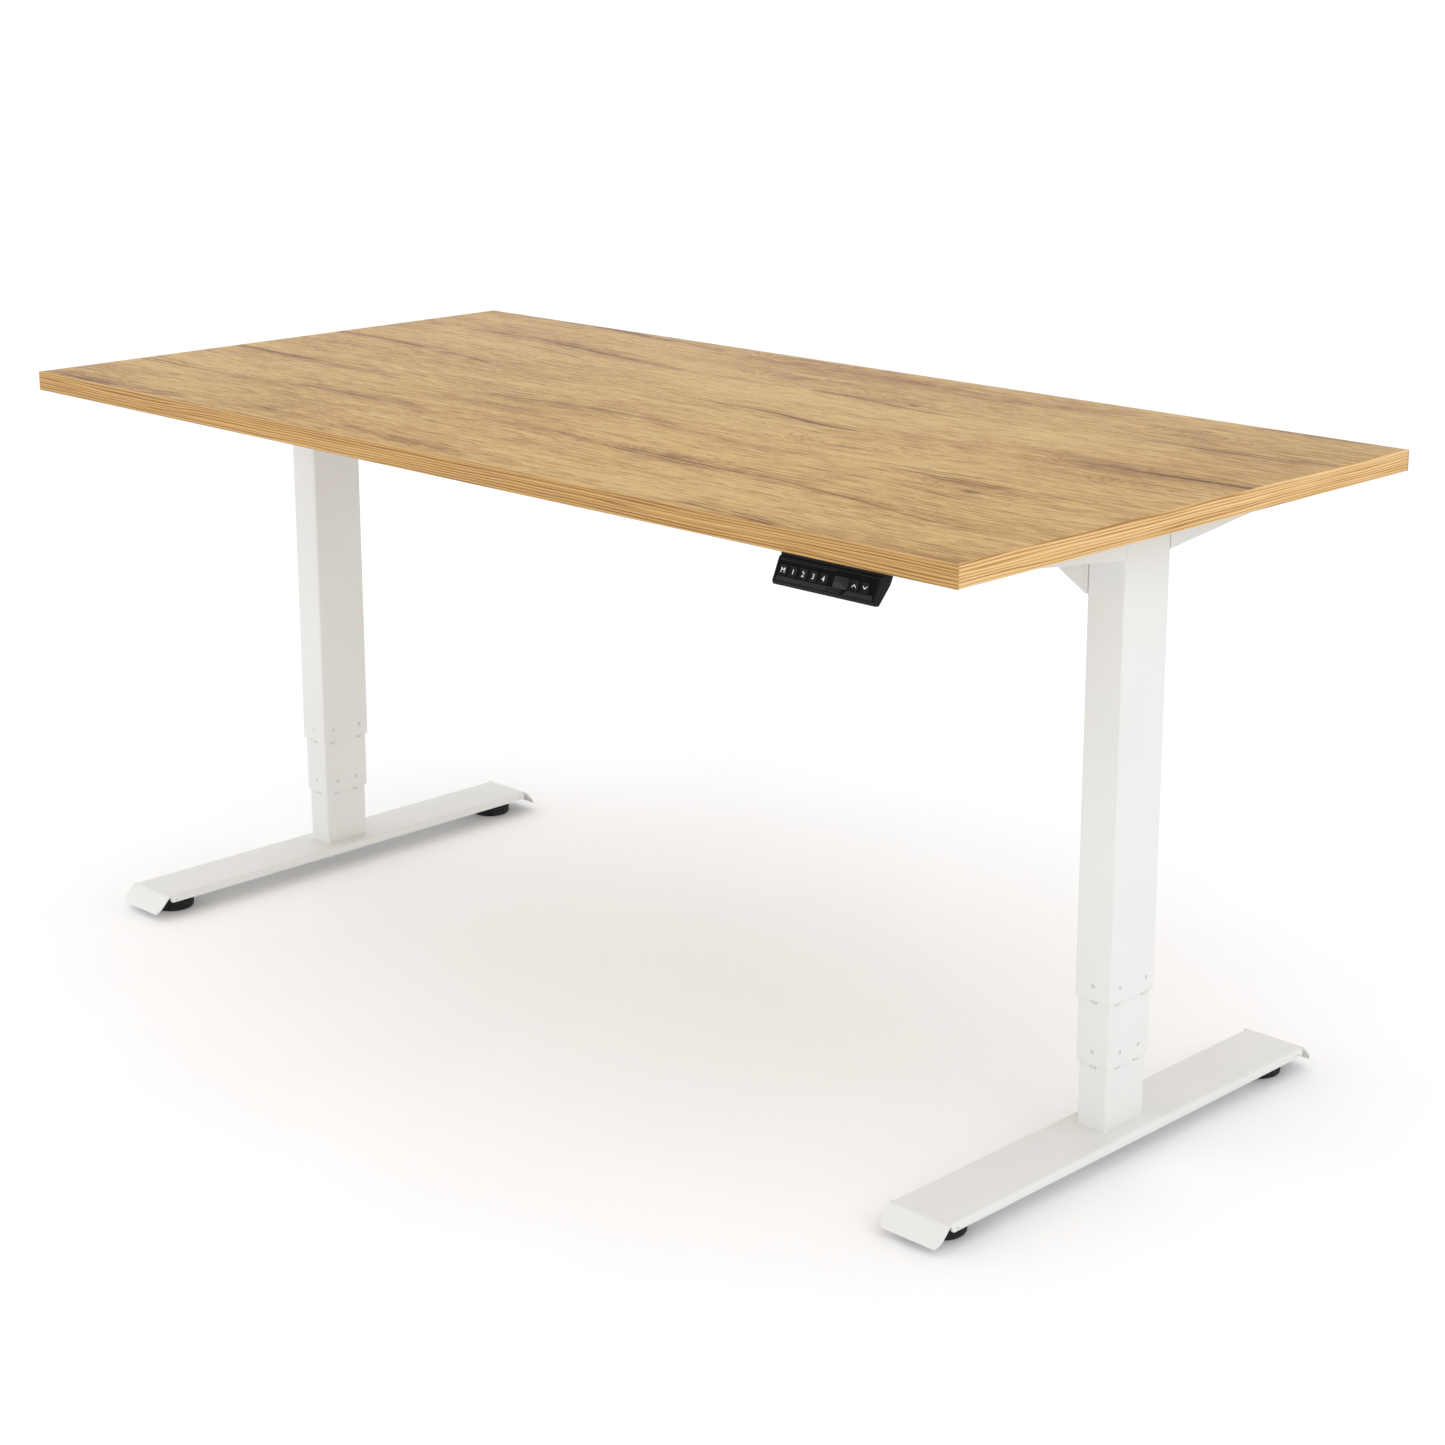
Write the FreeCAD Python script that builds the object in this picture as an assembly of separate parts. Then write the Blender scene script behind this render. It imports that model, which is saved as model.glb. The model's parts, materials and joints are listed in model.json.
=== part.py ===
"""Height adjustable standing desk: a wooden top on two telescopic steel columns with an electric drive.

Frame: +X along the long edge (to the user's right), -Y towards the user, +Z up, origin on the floor
under the middle of the top. Millimetres. The desk is drawn at a sitting height, part of the way up.
"""
import FreeCAD, Part
import math
import os

os.makedirs("parts", exist_ok=True)
V = FreeCAD.Vector

# ---------------------------------------------------------------- driving dimensions
DESK_HEIGHT = 760.0          # top surface above the floor, as drawn
TOP_LENGTH = 1600.0          # along X, over the edge bands
TOP_DEPTH = 800.0            # along Y, over the edge bands
TOP_THICK = 25.0
BAND_THICK = 2.0             # plastic edge band glued round the board

COLUMN_X = 706.0             # column centres, each side of the middle
TUBE_WALL = 1.5
TUBE_STEP = 2.5              # each tube is this much smaller per side than the one outside it
OUTER_X, OUTER_Y = 50.0, 80.0
TUBE_RADIUS = 3.0            # outer corner radius of every tube

TRAVEL_DOWN = 130.0          # the top sinks this much below the drawn height
OUTER_END_Z = 187.0          # lower end of the outer tube, as drawn
MIDDLE_END_Z = 109.0         # lower end of the middle tube, as drawn
BASE_PLUG = 8.0              # plug in the foot of the inner tube
PLUG_CORNER = 0.5            # plugs clear the tube's corners by rounding this much more

PEG_RADIUS = 2.0             # pegs that hold the glide pads
PEG_GAP = 0.4                # ring left round a lower peg
PEG_SUNK = 0.3               # its end below the face of the tube
OUTER_PEG = (17.0, 23.6)     # lower pegs of the outer tube: above its end, each side of the middle
MIDDLE_PEG = (16.0, 16.8)
LOWER_PAD = 40.0             # height of the pads at the lower end of a tube
UPPER_PAD = 30.0
UPPER_PAD_DROP = 8.0         # upper pads below the top of their tube
LOWER_PAD_IN = 11.0          # pads stop this far from the corners
UPPER_PAD_IN = 10.0
TONGUE = (4.0, 8.0)          # tongue of a lower pad below the tube's end, at each peg: drop, width

FOOT_TOP_Z = 32.0            # upper face of the foot
FOOT_WIDTH = 84.0
FOOT_FLAT = 652.0            # length of the level part, bend to bend
FOOT_SHEET = 2.5
FOOT_FLANGE = 10.0           # height of the folded side, over the sheet
FOOT_BEND = 5.0              # outer radius of the side folds
FLAP_ANGLE = 46.0            # fall of the end flaps below level
FLAP_SLOPE = 26.0            # straight length of a flap past its bend
FLAP_BEND = 8.0
FLAP_CORNER = 12.0
SIDE_SHORT = 1.0             # the folded sides stop this far before the flap's bend
SIDE_CORNER = 4.0           # rounding of their lower ends
RELIEF = 0.8                 # notch between a side and its flap
DRAIN = (10.0, 6.8, 1.2)     # drain hole: from the bend, below the top, radius

GLIDE_Y = 293.0              # levelling glides, each side of the column
GLIDE_RADIUS = 28.0
GLIDE_HEIGHT = 14.0
STUD_RADIUS = 4.0
GLIDE_NUT = 11.0             # height of the nut welded under the foot
NUT_WALL = 2.5
COLLAR = (5.0, 2.0)          # collar of that nut: width past the stud, and height
GLIDE_LOW_RIM = 3.0
GLIDE_TOP_RIM = 1.2
FLUTES = 30                  # grip flutes round a glide
FLUTE_RADIUS = 1.1
FLUTE_START = 4.0            # height at which they begin
STUD_CLEAR = 0.5             # stud below the foot's sheet

ARM_LENGTH = 580.0           # side bracket under the top, along Y
ARM_DEPTH = 43.0             # its depth at the column
ARM_TIP = 15.0               # and at its ends
ARM_SHEET = 2.5
ARM_FOLD = 2.2               # outer radius of its folds
ARM_SCREW_END = 22.0         # outer screws, in from the tips
ARM_SCREW_Y = 110.0          # inner screws, each side of the column
PAD_THICK = 2.0              # rubber between steel and wood
PAD_SIZE = (22.0, 30.0)
PAD_CORNER = 4.0

CHEEK_DEPTH = 88.0           # head bracket: depth at the column, below the top
CHEEK_SLOPE = 0.6            # rise per length of its sloping edge
CHEEK_ARM = 177.0            # length from the column flange to its inner end
CHEEK_SHEET = 2.5
CHEEK_FLANGE = 4.0           # plate welded to the column
PLATE_EDGE = 1.0             # rounding of that plate's lower edges
CHEEK_INSET = 1.5            # cheeks stand this far inside the column's faces
CHEEK_BELOW_RAIL = 3.0       # their level part hangs this far below the rail
CHEEK_BOLTS = (20.0, 62.0)   # bolts, from the cheek's inner end

RAIL_SHEET = 2.0             # crossbeam end rails: inverted channels
RAIL_HEIGHT = 30.0
RAIL_START = 86.0            # from the column flange to the outer end of a rail
RAIL_LENGTH = 330.0
BEAM_SHEET = 1.5             # centre beam: a wider channel over both rails
BEAM_HALF = 385.0
BEAM_SCREWS = (-200.0, -70.0, 70.0, 200.0)
BEAM_BOLT_IN = 25.0          # bolts, from the ends of the overlap of beam and rail
BOLT_DROP = 2.0              # bolts sit this far below the middle of the rail

GEARBOX_HEIGHT = 31.0
MOTOR_RADIUS = 18.5
MOTOR_LENGTH = 78.0
MOTOR_EDGE = 2.0
MOTOR_CAP = 5.0              # end cap: height, and how much smaller its radius is
NECK_IN = 4.0                # the motor's neck is this much inside the gearbox's height
SEAT_X = 23.0                # plug seat on the motor: its centre from the flange
SEAT_SIZE = (14.0, 12.0, 6.0)
SEAT_WALL = 2.0
SEAT_DEPTH = 5.0
SCREW_RADIUS = 8.0           # drive screw
HOLLOW_RADIUS = 12.5         # hollow screw round it
HUB_HEIGHT = 25.0            # nut block in the top of a tube
HUB_BEARING = 10.0           # depth of the hollow screw's bearing in the middle hub
JOURNAL_RADIUS = 6.0
JOURNAL_LENGTH = 17.0
JOURNAL_END = 1.0            # gap past the end of the journal
DRIVE_GAP = 6.0              # drive screw above the base plug when fully down
HOLLOW_GAP = 10.0            # hollow screw above it

HANDSET_X = 637.0            # centre of the handset
HANDSET_WIDTH = 138.0
HANDSET_LEAN = 10.5          # the lower edge of its face stands this far in front of the upper edge
HANDSET_DROP = 23.4          # height of its face
FLANGE_WIDTH = 142.0
FLANGE_THICK = 3.0
KEY_SIZE = 11.6
KEY_PITCH = 13.7
KEY_PROUD = 0.7
KEY_U = {"key_memory": -58.0, "key_1": -58.0 + KEY_PITCH, "key_2": -58.0 + 2 * KEY_PITCH,
         "key_3": -58.0 + 3 * KEY_PITCH, "key_4": -58.0 + 4 * KEY_PITCH, "key_up": 38.0, "key_down": 52.0}
KEY_SKIRT = 0.6              # skirt that keeps a key behind the panel
SKIRT_HEIGHT = 0.8
KEY_CORNER = 2.0
KEY_RIM = 0.4
PANEL_THICK = 1.6
PANEL_SIZE = (134.0, 23.4)
CAVITY_SIZE = (131.0, 17.0)
CAVITY_UNDER = 3.4           # room behind the panel
DISPLAY_SIZE = (20.0, 12.0)
DISPLAY_U = 20.0
DISPLAY_SUNK = 0.2
MODULE_BORDER = 3.0          # the display module is this much larger than its window
BOARD_THICK = 1.6            # circuit board
FACE_IN = (2.0, 4.0)         # upper edge of the face: in front of the top, below its underside
CHIN = ((1.5, -3.5), (7.0, -4.5))   # underside of the housing, from the lower edge of the face
BACK = ((10.0, -15.0), (16.0, -3.0))   # and its back, from the top's front edge
HANDSET_EDGE = 0.8
FLANGE_IN = (0.5, 40.0)      # flange under the top: from and to, behind the front edge
FLANGE_CORNER = 5.0
HANDSET_SCREW = (55.0, 29.0) # screws: each side of the middle, behind the front edge
CABLE_SOCKET = (15.0, -10.0, 2.5, 9.0)   # behind the edge, below the top, radius, depth

CONTROL_SIZE = (210.0, 92.0, 34.0)
CONTROL_CENTRE = (-40.0, 110.0)
CONTROL_CORNER = 6.0
CONTROL_EDGE = 2.0
CONTROL_EAR = 3.0            # thickness of the ears
EAR_SIZE = 18.0
EAR_CORNER = 4.0
EAR_SCREW = (8.0, 30.0)      # its screw: past the end of the box, each side of the middle
SOCKETS = ((-78.0, 24.0), (-30.0, 18.0), (4.0, 18.0), (38.0, 16.0))   # from the centre, width
SOCKET_HEIGHT = 13.0
SOCKET_DEPTH = 12.0
SOCKET_SUNK = 0.5
SOCKET_WALL = 2.0
SOCKET_DROP = 1.0            # below the middle of the box

# ---------------------------------------------------------------- clearances
RUN = 0.05                   # radial, shaft in bore
SLIDE = 0.1                  # glide pad on the tube that runs in it
FREE = 0.3                   # parts that pass without touching
SNUG = 0.1                   # trim in its recess
HOLE = 0.3                   # radial, bolt in its hole
HEAD_ROOM = 0.5              # gearbox below the top of the column
HUB_GAP = 3.0                # inner tube below the middle hub when fully down
STACK_GAP = 2.0              # tubes and nuts clear each other by this when fully down
CUT = 1.0                    # cutting tools reach this far past a face
SAME = 1e-6                  # lengths closer than this are equal

# ---------------------------------------------------------------- fasteners
WOOD_SCREW = {"head_r": 4.5, "head_h": 3.0, "shank_r": 2.1, "length": 18.0}
BOLT = {"head_r": 5.5, "head_h": 3.5, "shank_r": 3.0}
FOOT_BOLT_LENGTH = 10.0
FOOT_BOLT_X = 11.0
FOOT_BOLT_Y = 24.0
NUT_HEIGHT = 5.0
NUT_RADIUS = 5.5
BOLT_PAST = 1.0              # thread that shows past a nut
PILOT_PAST = 1.0             # pilot hole past the point of a wood screw

# ---------------------------------------------------------------- levels worked out from these
UNDER_TOP = DESK_HEIGHT - TOP_THICK
STEEL_TOP = UNDER_TOP - PAD_THICK
COLUMN_TOP = STEEL_TOP - ARM_SHEET
GEARBOX_Z = COLUMN_TOP - HEAD_ROOM - GEARBOX_HEIGHT
GEARBOX_LOW = GEARBOX_Z - TRAVEL_DOWN               # gearbox bottom with the desk fully down
MIDDLE_TOP = GEARBOX_LOW - STACK_GAP + TRAVEL_DOWN / 2    # the middle tube moves half as far as the top
INNER_TOP = GEARBOX_LOW - STACK_GAP - HUB_HEIGHT - HUB_GAP
DRIVE_AXIS_Z = GEARBOX_Z + GEARBOX_HEIGHT / 2
MIDDLE_X, MIDDLE_Y = OUTER_X - 2 * TUBE_STEP, OUTER_Y - 2 * TUBE_STEP
INNER_X, INNER_Y = MIDDLE_X - 2 * TUBE_STEP, MIDDLE_Y - 2 * TUBE_STEP
TUBE_GAP = TUBE_STEP - TUBE_WALL
NECK_RADIUS = GEARBOX_HEIGHT / 2 - NECK_IN
FACE_ANGLE = math.atan2(HANDSET_LEAN, HANDSET_DROP)
CAVITY_DEPTH = PANEL_THICK + CAVITY_UNDER
SIDES = {"left": -1, "right": 1}


# ---------------------------------------------------------------- helpers
def box(x, y, z):
    """Box from three (low, high) pairs."""
    shape = Part.makeBox(x[1] - x[0], y[1] - y[0], z[1] - z[0])
    shape.translate(V(x[0], y[0], z[0]))
    return shape


def rounded_box(x, y, z, radius):
    """Box whose four upright edges are rounded."""
    shape = box(x, y, z)
    upright = [e for e in shape.Edges if abs(e.tangentAt(e.FirstParameter).z) > 0.9]
    return shape.makeFillet(radius, upright)


def rod(point, direction, radius, length):
    return Part.makeCylinder(radius, length, V(*point), V(*direction))


def ring(point, direction, radius, bore, length):
    return rod(point, direction, radius, length).cut(rod(point, direction, bore, length))


def prism(points, along):
    """Extrude the closed outline through points by the vector along."""
    wire = Part.makePolygon([V(*p) for p in points] + [V(*points[0])])
    return Part.Face(wire).extrude(V(*along))


def centred(middle, size):
    return (middle - size / 2, middle + size / 2)


def mirrored(shape, side):
    """Parts are drawn for the right-hand side (side = 1) and mirrored in X for the left."""
    if side > 0:
        return shape
    return shape.mirror(V(0, 0, 0), V(1, 0, 0))


def save(name, shapes):
    """Write one node: a single solid, or a compound of loose solids."""
    solids = [s for shape in (shapes if isinstance(shapes, list) else [shapes]) for s in shape.Solids]
    result = solids[0] if len(solids) == 1 else Part.makeCompound(solids)
    result.exportStep("parts/%s.step" % name)


def fused(shapes):
    shape = shapes[0].multiFuse(shapes[1:])
    return shape.removeSplitter()


# ---------------------------------------------------------------- where the screws go
def arm_screw_points():
    """Screw positions of one side bracket: (x, y)."""
    end = ARM_LENGTH / 2 - ARM_SCREW_END
    return [(COLUMN_X, y) for y in (-end, -ARM_SCREW_Y, ARM_SCREW_Y, end)]


def beam_screw_points():
    return [(x, 0.0) for x in BEAM_SCREWS]


def rail_screw_x():
    """Along an end rail, between the centre beam and the head bracket."""
    return (BEAM_HALF + column_flange_x() - CHEEK_ARM) / 2


def column_flange_x():
    """Inner face of the head bracket's column plate."""
    return COLUMN_X - OUTER_X / 2 - CHEEK_FLANGE


def control_screw_points():
    cx, cy = CONTROL_CENTRE
    reach = CONTROL_SIZE[0] / 2 + EAR_SCREW[0]
    return [(cx + sx * reach, cy + sy * EAR_SCREW[1]) for sx in (-1, 1) for sy in (-1, 1)]


def handset_screw_points():
    return [(HANDSET_X + s * HANDSET_SCREW[0], -TOP_DEPTH / 2 + HANDSET_SCREW[1]) for s in (-1, 1)]


def all_wood_screws():
    """Every wood screw as (x, y, z of the face its head bears on)."""
    steel_face = STEEL_TOP - ARM_SHEET
    places = [(s * x, y, steel_face) for s in (-1, 1) for x, y in arm_screw_points()]
    places += [(x, y, STEEL_TOP - BEAM_SHEET) for x, y in beam_screw_points()]
    places += [(s * rail_screw_x(), 0.0, rail_top() - RAIL_SHEET) for s in (-1, 1)]
    places += [(x, y, UNDER_TOP - CONTROL_EAR) for x, y in control_screw_points()]
    places += [(x, y, UNDER_TOP - FLANGE_THICK) for x, y in handset_screw_points()]
    return places


def rail_top():
    """The rails slide under the web of the centre beam."""
    return STEEL_TOP - BEAM_SHEET - FREE


# ---------------------------------------------------------------- desktop
def make_desktop():
    half_x, half_y = TOP_LENGTH / 2, TOP_DEPTH / 2
    z = (UNDER_TOP, DESK_HEIGHT)
    board = box((-half_x + BAND_THICK, half_x - BAND_THICK), (-half_y + BAND_THICK, half_y - BAND_THICK), z)
    holes = []
    for x, y, face in all_wood_screws():
        tip = face + WOOD_SCREW["length"] + PILOT_PAST
        start = UNDER_TOP - CUT
        holes.append(rod((x, y, start), (0, 0, 1), WOOD_SCREW["shank_r"] + RUN, tip - start))
    save("desktop_board", board.cut(Part.makeCompound(holes)))

    band_y = half_y - BAND_THICK / 2
    long_bands = [box((-half_x, half_x), centred(s * band_y, BAND_THICK), z) for s in (-1, 1)]
    short_y = (-half_y + BAND_THICK, half_y - BAND_THICK)
    short_bands = [box(centred(s * (half_x - BAND_THICK / 2), BAND_THICK), short_y, z) for s in (-1, 1)]
    save("edge_bands_long", long_bands)
    save("edge_bands_short", short_bands)


def make_wood_screws():
    screws = []
    for x, y, face in all_wood_screws():
        head = rod((x, y, face - WOOD_SCREW["head_h"]), (0, 0, 1), WOOD_SCREW["head_r"], WOOD_SCREW["head_h"])
        rim = [e for e in head.Edges if abs(e.BoundBox.ZMax - (face - WOOD_SCREW["head_h"])) < SAME]
        head = head.makeFillet(WOOD_SCREW["head_h"] / 2, rim)
        shank = rod((x, y, face), (0, 0, 1), WOOD_SCREW["shank_r"], WOOD_SCREW["length"])
        screws.append(fused([head, shank]))
    save("desktop_screws", screws)


def make_damping_pads():
    """Rubber pads between the steel and the wood at each frame screw, and under the ends of the rails."""
    spots = [(s * x, y, STEEL_TOP) for s in (-1, 1) for x, y in arm_screw_points()]
    spots += [(x, y, STEEL_TOP) for x, y in beam_screw_points()]
    spots += [(s * rail_screw_x(), 0.0, rail_top()) for s in (-1, 1)]
    pads = []
    for x, y, z in spots:
        pad = rounded_box(centred(x, PAD_SIZE[0]), centred(y, PAD_SIZE[1]), (z, UNDER_TOP), PAD_CORNER)
        pads.append(pad.cut(rod((x, y, z), (0, 0, 1), WOOD_SCREW["shank_r"] + HOLE, UNDER_TOP - z)))
    save("damping_pads", pads)


# ---------------------------------------------------------------- frame under the top
def make_side_bracket():
    """Folded arm along Y: a web under the top and tapering sides, cut away where the column stands."""
    half = ARM_LENGTH / 2
    x_out = COLUMN_X + OUTER_X / 2
    x_in = COLUMN_X - OUTER_X / 2
    column = OUTER_Y / 2
    web = box((x_in, x_out), (-half, half), (COLUMN_TOP, STEEL_TOP))
    deep = UNDER_TOP - ARM_DEPTH
    thin = UNDER_TOP - ARM_TIP
    walls = []
    for s in (-1, 1):
        for x in (x_in, x_out - ARM_SHEET):
            outline = [(x, s * column, STEEL_TOP), (x, s * column, deep)]
            outline += [(x, s * half, thin), (x, s * half, STEEL_TOP)]
            walls.append(prism(outline, (ARM_SHEET, 0, 0)))
    bracket = fused([web] + walls)
    fold = [e for e in bracket.Edges if is_fold(e, STEEL_TOP, (x_in, x_out))]
    bracket = bracket.makeFillet(ARM_FOLD, fold)
    holes = [rod((x, y, COLUMN_TOP - CUT), (0, 0, 1), WOOD_SCREW["shank_r"] + HOLE, ARM_SHEET + 2 * CUT)
             for x, y in arm_screw_points()]
    return bracket.cut(Part.makeCompound(holes))


def is_fold(edge, z, x_values):
    """True for a long straight edge at height z on one of the given X planes."""
    b = edge.BoundBox
    level = abs(b.ZMin - z) < SAME and abs(b.ZMax - z) < SAME
    upright = any(abs(b.XMin - x) < SAME and abs(b.XMax - x) < SAME for x in x_values)
    return level and upright and b.YLength > OUTER_Y


def rail_bolt_x():
    """Bolts through the head bracket's cheeks and the rail, and through the centre beam and the rail."""
    inner = column_flange_x() - CHEEK_ARM
    rail_in = column_flange_x() - RAIL_START - RAIL_LENGTH
    cheek = [inner + step for step in CHEEK_BOLTS]
    return {"cheek": cheek, "beam": [rail_in + BEAM_BOLT_IN, BEAM_HALF - BEAM_BOLT_IN]}


def bolt_z():
    return rail_top() - RAIL_HEIGHT / 2 - BOLT_DROP


def channel(x, half_y, top, height, sheet):
    """Inverted U: web on top, two sides hanging down."""
    outer = box(x, (-half_y, half_y), (top - height, top))
    inner_x = (x[0] - CUT, x[1] + CUT)
    inner = box(inner_x, (-half_y + sheet, half_y - sheet), (top - height - CUT, top - sheet))
    return outer.cut(inner)


def cheek_half():
    """Outer half width of the head bracket, just inside the column's faces."""
    return OUTER_Y / 2 - CHEEK_INSET


def rail_half():
    return cheek_half() - CHEEK_SHEET - SNUG


def screw_hole(x, y, top):
    """Clearance hole for a wood screw through the sheet whose upper face is at top."""
    return rod((x, y, top - 2 * BEAM_SHEET), (0, 0, 1), WOOD_SCREW["shank_r"] + HOLE, 3 * BEAM_SHEET)


def make_end_rail():
    x_out = column_flange_x() - RAIL_START
    rail = channel((x_out - RAIL_LENGTH, x_out), rail_half(), rail_top(), RAIL_HEIGHT, RAIL_SHEET)
    cuts = [rod((x, -OUTER_Y, bolt_z()), (0, 1, 0), BOLT["shank_r"] + HOLE, 2 * OUTER_Y)
            for x in rail_bolt_x()["cheek"] + rail_bolt_x()["beam"]]
    cuts.append(screw_hole(rail_screw_x(), 0.0, rail_top()))
    return rail.cut(Part.makeCompound(cuts))


def make_centre_beam():
    half_y = rail_half() + BEAM_SHEET + FREE
    beam = channel((-BEAM_HALF, BEAM_HALF), half_y, STEEL_TOP, RAIL_HEIGHT + BEAM_SHEET, BEAM_SHEET)
    cuts = [rod((s * x, -OUTER_Y, bolt_z()), (0, 1, 0), BOLT["shank_r"] + HOLE, 2 * OUTER_Y)
            for s in (-1, 1) for x in rail_bolt_x()["beam"]]
    cuts += [screw_hole(x, y, STEEL_TOP)
             for x, y in beam_screw_points()]
    save("crossbeam_centre", beam.cut(Part.makeCompound(cuts)))


def make_head_bracket():
    """Column plate and two triangular cheeks that carry the end rail; the motor lies between them."""
    plate_x = column_flange_x()
    half = cheek_half()
    low = UNDER_TOP - CHEEK_DEPTH
    arm_low = rail_top() - RAIL_HEIGHT - CHEEK_BELOW_RAIL
    end = plate_x - CHEEK_ARM
    knee = plate_x - (arm_low - low) / CHEEK_SLOPE
    top = STEEL_TOP
    plate = box((plate_x, plate_x + CHEEK_FLANGE), centred(0.0, OUTER_Y), (low, COLUMN_TOP))
    plate = plate.makeFillet(PLATE_EDGE, [e for e in plate.Edges if abs(e.BoundBox.ZMax - low) < SAME])
    cheeks = []
    for y in (-half, half - CHEEK_SHEET):
        outline = [(plate_x, y, low), (plate_x, y, top), (end, y, top), (end, y, arm_low), (knee, y, arm_low)]
        cheeks.append(prism(outline, (0, CHEEK_SHEET, 0)))
    bracket = fused([plate] + cheeks)
    cuts = [rod((x, -OUTER_Y, bolt_z()), (0, 1, 0), BOLT["shank_r"] + HOLE, 2 * OUTER_Y)
            for x in rail_bolt_x()["cheek"]]
    cuts.append(rod((plate_x - CUT, 0, DRIVE_AXIS_Z), (1, 0, 0), NECK_RADIUS + HOLE, CHEEK_FLANGE + 2 * CUT))
    return bracket.cut(Part.makeCompound(cuts))


def make_frame_fixings():
    """Bolts from outside through cheek or beam, with nuts on the inside of the rail."""
    bolts, nuts = [], []
    inside = rail_half() - RAIL_SHEET
    for side in (-1, 1):
        for kind, face in (("cheek", cheek_half()), ("beam", rail_half() + BEAM_SHEET + FREE)):
            for x in rail_bolt_x()[kind]:
                for s in (-1, 1):
                    point = (side * x, s * face, bolt_z())
                    head = rod(point, (0, s, 0), BOLT["head_r"], BOLT["head_h"])
                    shank = rod(point, (0, -s, 0), BOLT["shank_r"], face - inside + NUT_HEIGHT + BOLT_PAST)
                    bolts.append(fused([head, shank]))
                    nut_at = (side * x, s * inside, bolt_z())
                    nuts.append(ring(nut_at, (0, -s, 0), NUT_RADIUS, BOLT["shank_r"] + RUN, NUT_HEIGHT))
    save("frame_bolts", bolts)
    save("frame_nuts", nuts)


# ---------------------------------------------------------------- telescopic columns
def tube(size_x, size_y, z):
    outer = rounded_box(centred(COLUMN_X, size_x), centred(0.0, size_y), z, TUBE_RADIUS)
    hollow_x, hollow_y = size_x - 2 * TUBE_WALL, size_y - 2 * TUBE_WALL
    reach = (z[0] - CUT, z[1] + CUT)
    bore = rounded_box(centred(COLUMN_X, hollow_x), centred(0.0, hollow_y), reach, TUBE_RADIUS - TUBE_WALL)
    return outer.cut(bore)


def plug(size_x, size_y, z):
    """Block that fills the bore of a tube, face to face on its flats and clear of its corners."""
    bore_x, bore_y = size_x - 2 * TUBE_WALL, size_y - 2 * TUBE_WALL
    return rounded_box(centred(COLUMN_X, bore_x), centred(0.0, bore_y), z, TUBE_RADIUS + PLUG_CORNER)


def peg_spots(size_x, size_y, z, spread):
    """Pegs of one ring of pads: (point on the tube's outer face, direction out of that face)."""
    spots = [((COLUMN_X + s * size_x / 2, y, z), (s, 0, 0)) for s in (-1, 1) for y in (-spread, spread)]
    return spots + [((COLUMN_X, s * size_y / 2, z), (0, s, 0)) for s in (-1, 1)]


def peg_holes(spots):
    """Holes through the tube wall, from just outside the face inwards."""
    holes = []
    for (x, y, z), (dx, dy, dz) in spots:
        holes.append(rod((x + dx, y + dy, z), (-dx, -dy, -dz), PEG_RADIUS + PEG_GAP, TUBE_WALL + 2 * CUT))
    return Part.makeCompound(holes)


def pads_inside(size_x, size_y, end_z, spots):
    """Pads lining the bore at the lower end of a tube, with pegs out through the wall and tongues below it."""
    thick = TUBE_GAP - SLIDE
    z = (end_z, end_z + LOWER_PAD)
    pads = []
    for s in (-1, 1):
        wall_x = COLUMN_X + s * (size_x / 2 - TUBE_WALL)
        wall_y = s * (size_y / 2 - TUBE_WALL)
        span_y, span_x = size_y - 2 * LOWER_PAD_IN, size_x - 2 * LOWER_PAD_IN
        pad_x = box(sorted((wall_x, wall_x - s * thick)), centred(0.0, span_y), z)
        pad_y = box(centred(COLUMN_X, span_x), sorted((wall_y, wall_y - s * thick)), z)
        pads += [[pad_x, (s, 0, 0)], [pad_y, (0, s, 0)]]
    return [fused([pad] + pegs_for(direction, spots, end_z)) for pad, direction in pads]


def pegs_for(direction, spots, end_z):
    """Pegs of the pad that faces the given way, a little below the outside of the tube, and their tongues."""
    parts = []
    drop, width = TONGUE
    tongue_z = (end_z - drop, end_z + CUT)
    for (x, y, z), (dx, dy, dz) in spots:
        if (dx, dy, dz) == direction:
            parts.append(rod((x - dx * PEG_SUNK, y - dy * PEG_SUNK, z), (-dx, -dy, -dz), PEG_RADIUS,
                             TUBE_WALL - PEG_SUNK))
            near, far = TUBE_WALL, TUBE_WALL + TUBE_GAP - SLIDE
            tongue_x = sorted((x - dx * near, x - dx * far)) if dx else centred(x, width)
            tongue_y = sorted((y - dy * near, y - dy * far)) if dy else centred(y, width)
            parts.append(box(tongue_x, tongue_y, tongue_z))
    return parts


def pads_outside(size_x, size_y, top_z):
    """Pads on the outside of a tube near its upper end, each with two pegs in through the wall."""
    thick = TUBE_GAP - SLIDE
    z = (top_z - UPPER_PAD_DROP - UPPER_PAD, top_z - UPPER_PAD_DROP)
    peg_z = (z[0] + z[1]) / 2
    pads = []
    for s in (-1, 1):
        face_x, face_y = COLUMN_X + s * size_x / 2, s * size_y / 2
        pad_x = box(sorted((face_x, face_x + s * thick)), centred(0.0, size_y - 2 * UPPER_PAD_IN), z)
        pad_y = box(centred(COLUMN_X, size_x - 2 * UPPER_PAD_IN), sorted((face_y, face_y + s * thick)), z)
        peg_x = rod((face_x, 0, peg_z), (-s, 0, 0), PEG_RADIUS, TUBE_WALL)
        peg_y = rod((COLUMN_X, face_y, peg_z), (0, -s, 0), PEG_RADIUS, TUBE_WALL)
        pads += [fused([pad_x, peg_x]), fused([pad_y, peg_y])]
    return pads


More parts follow.
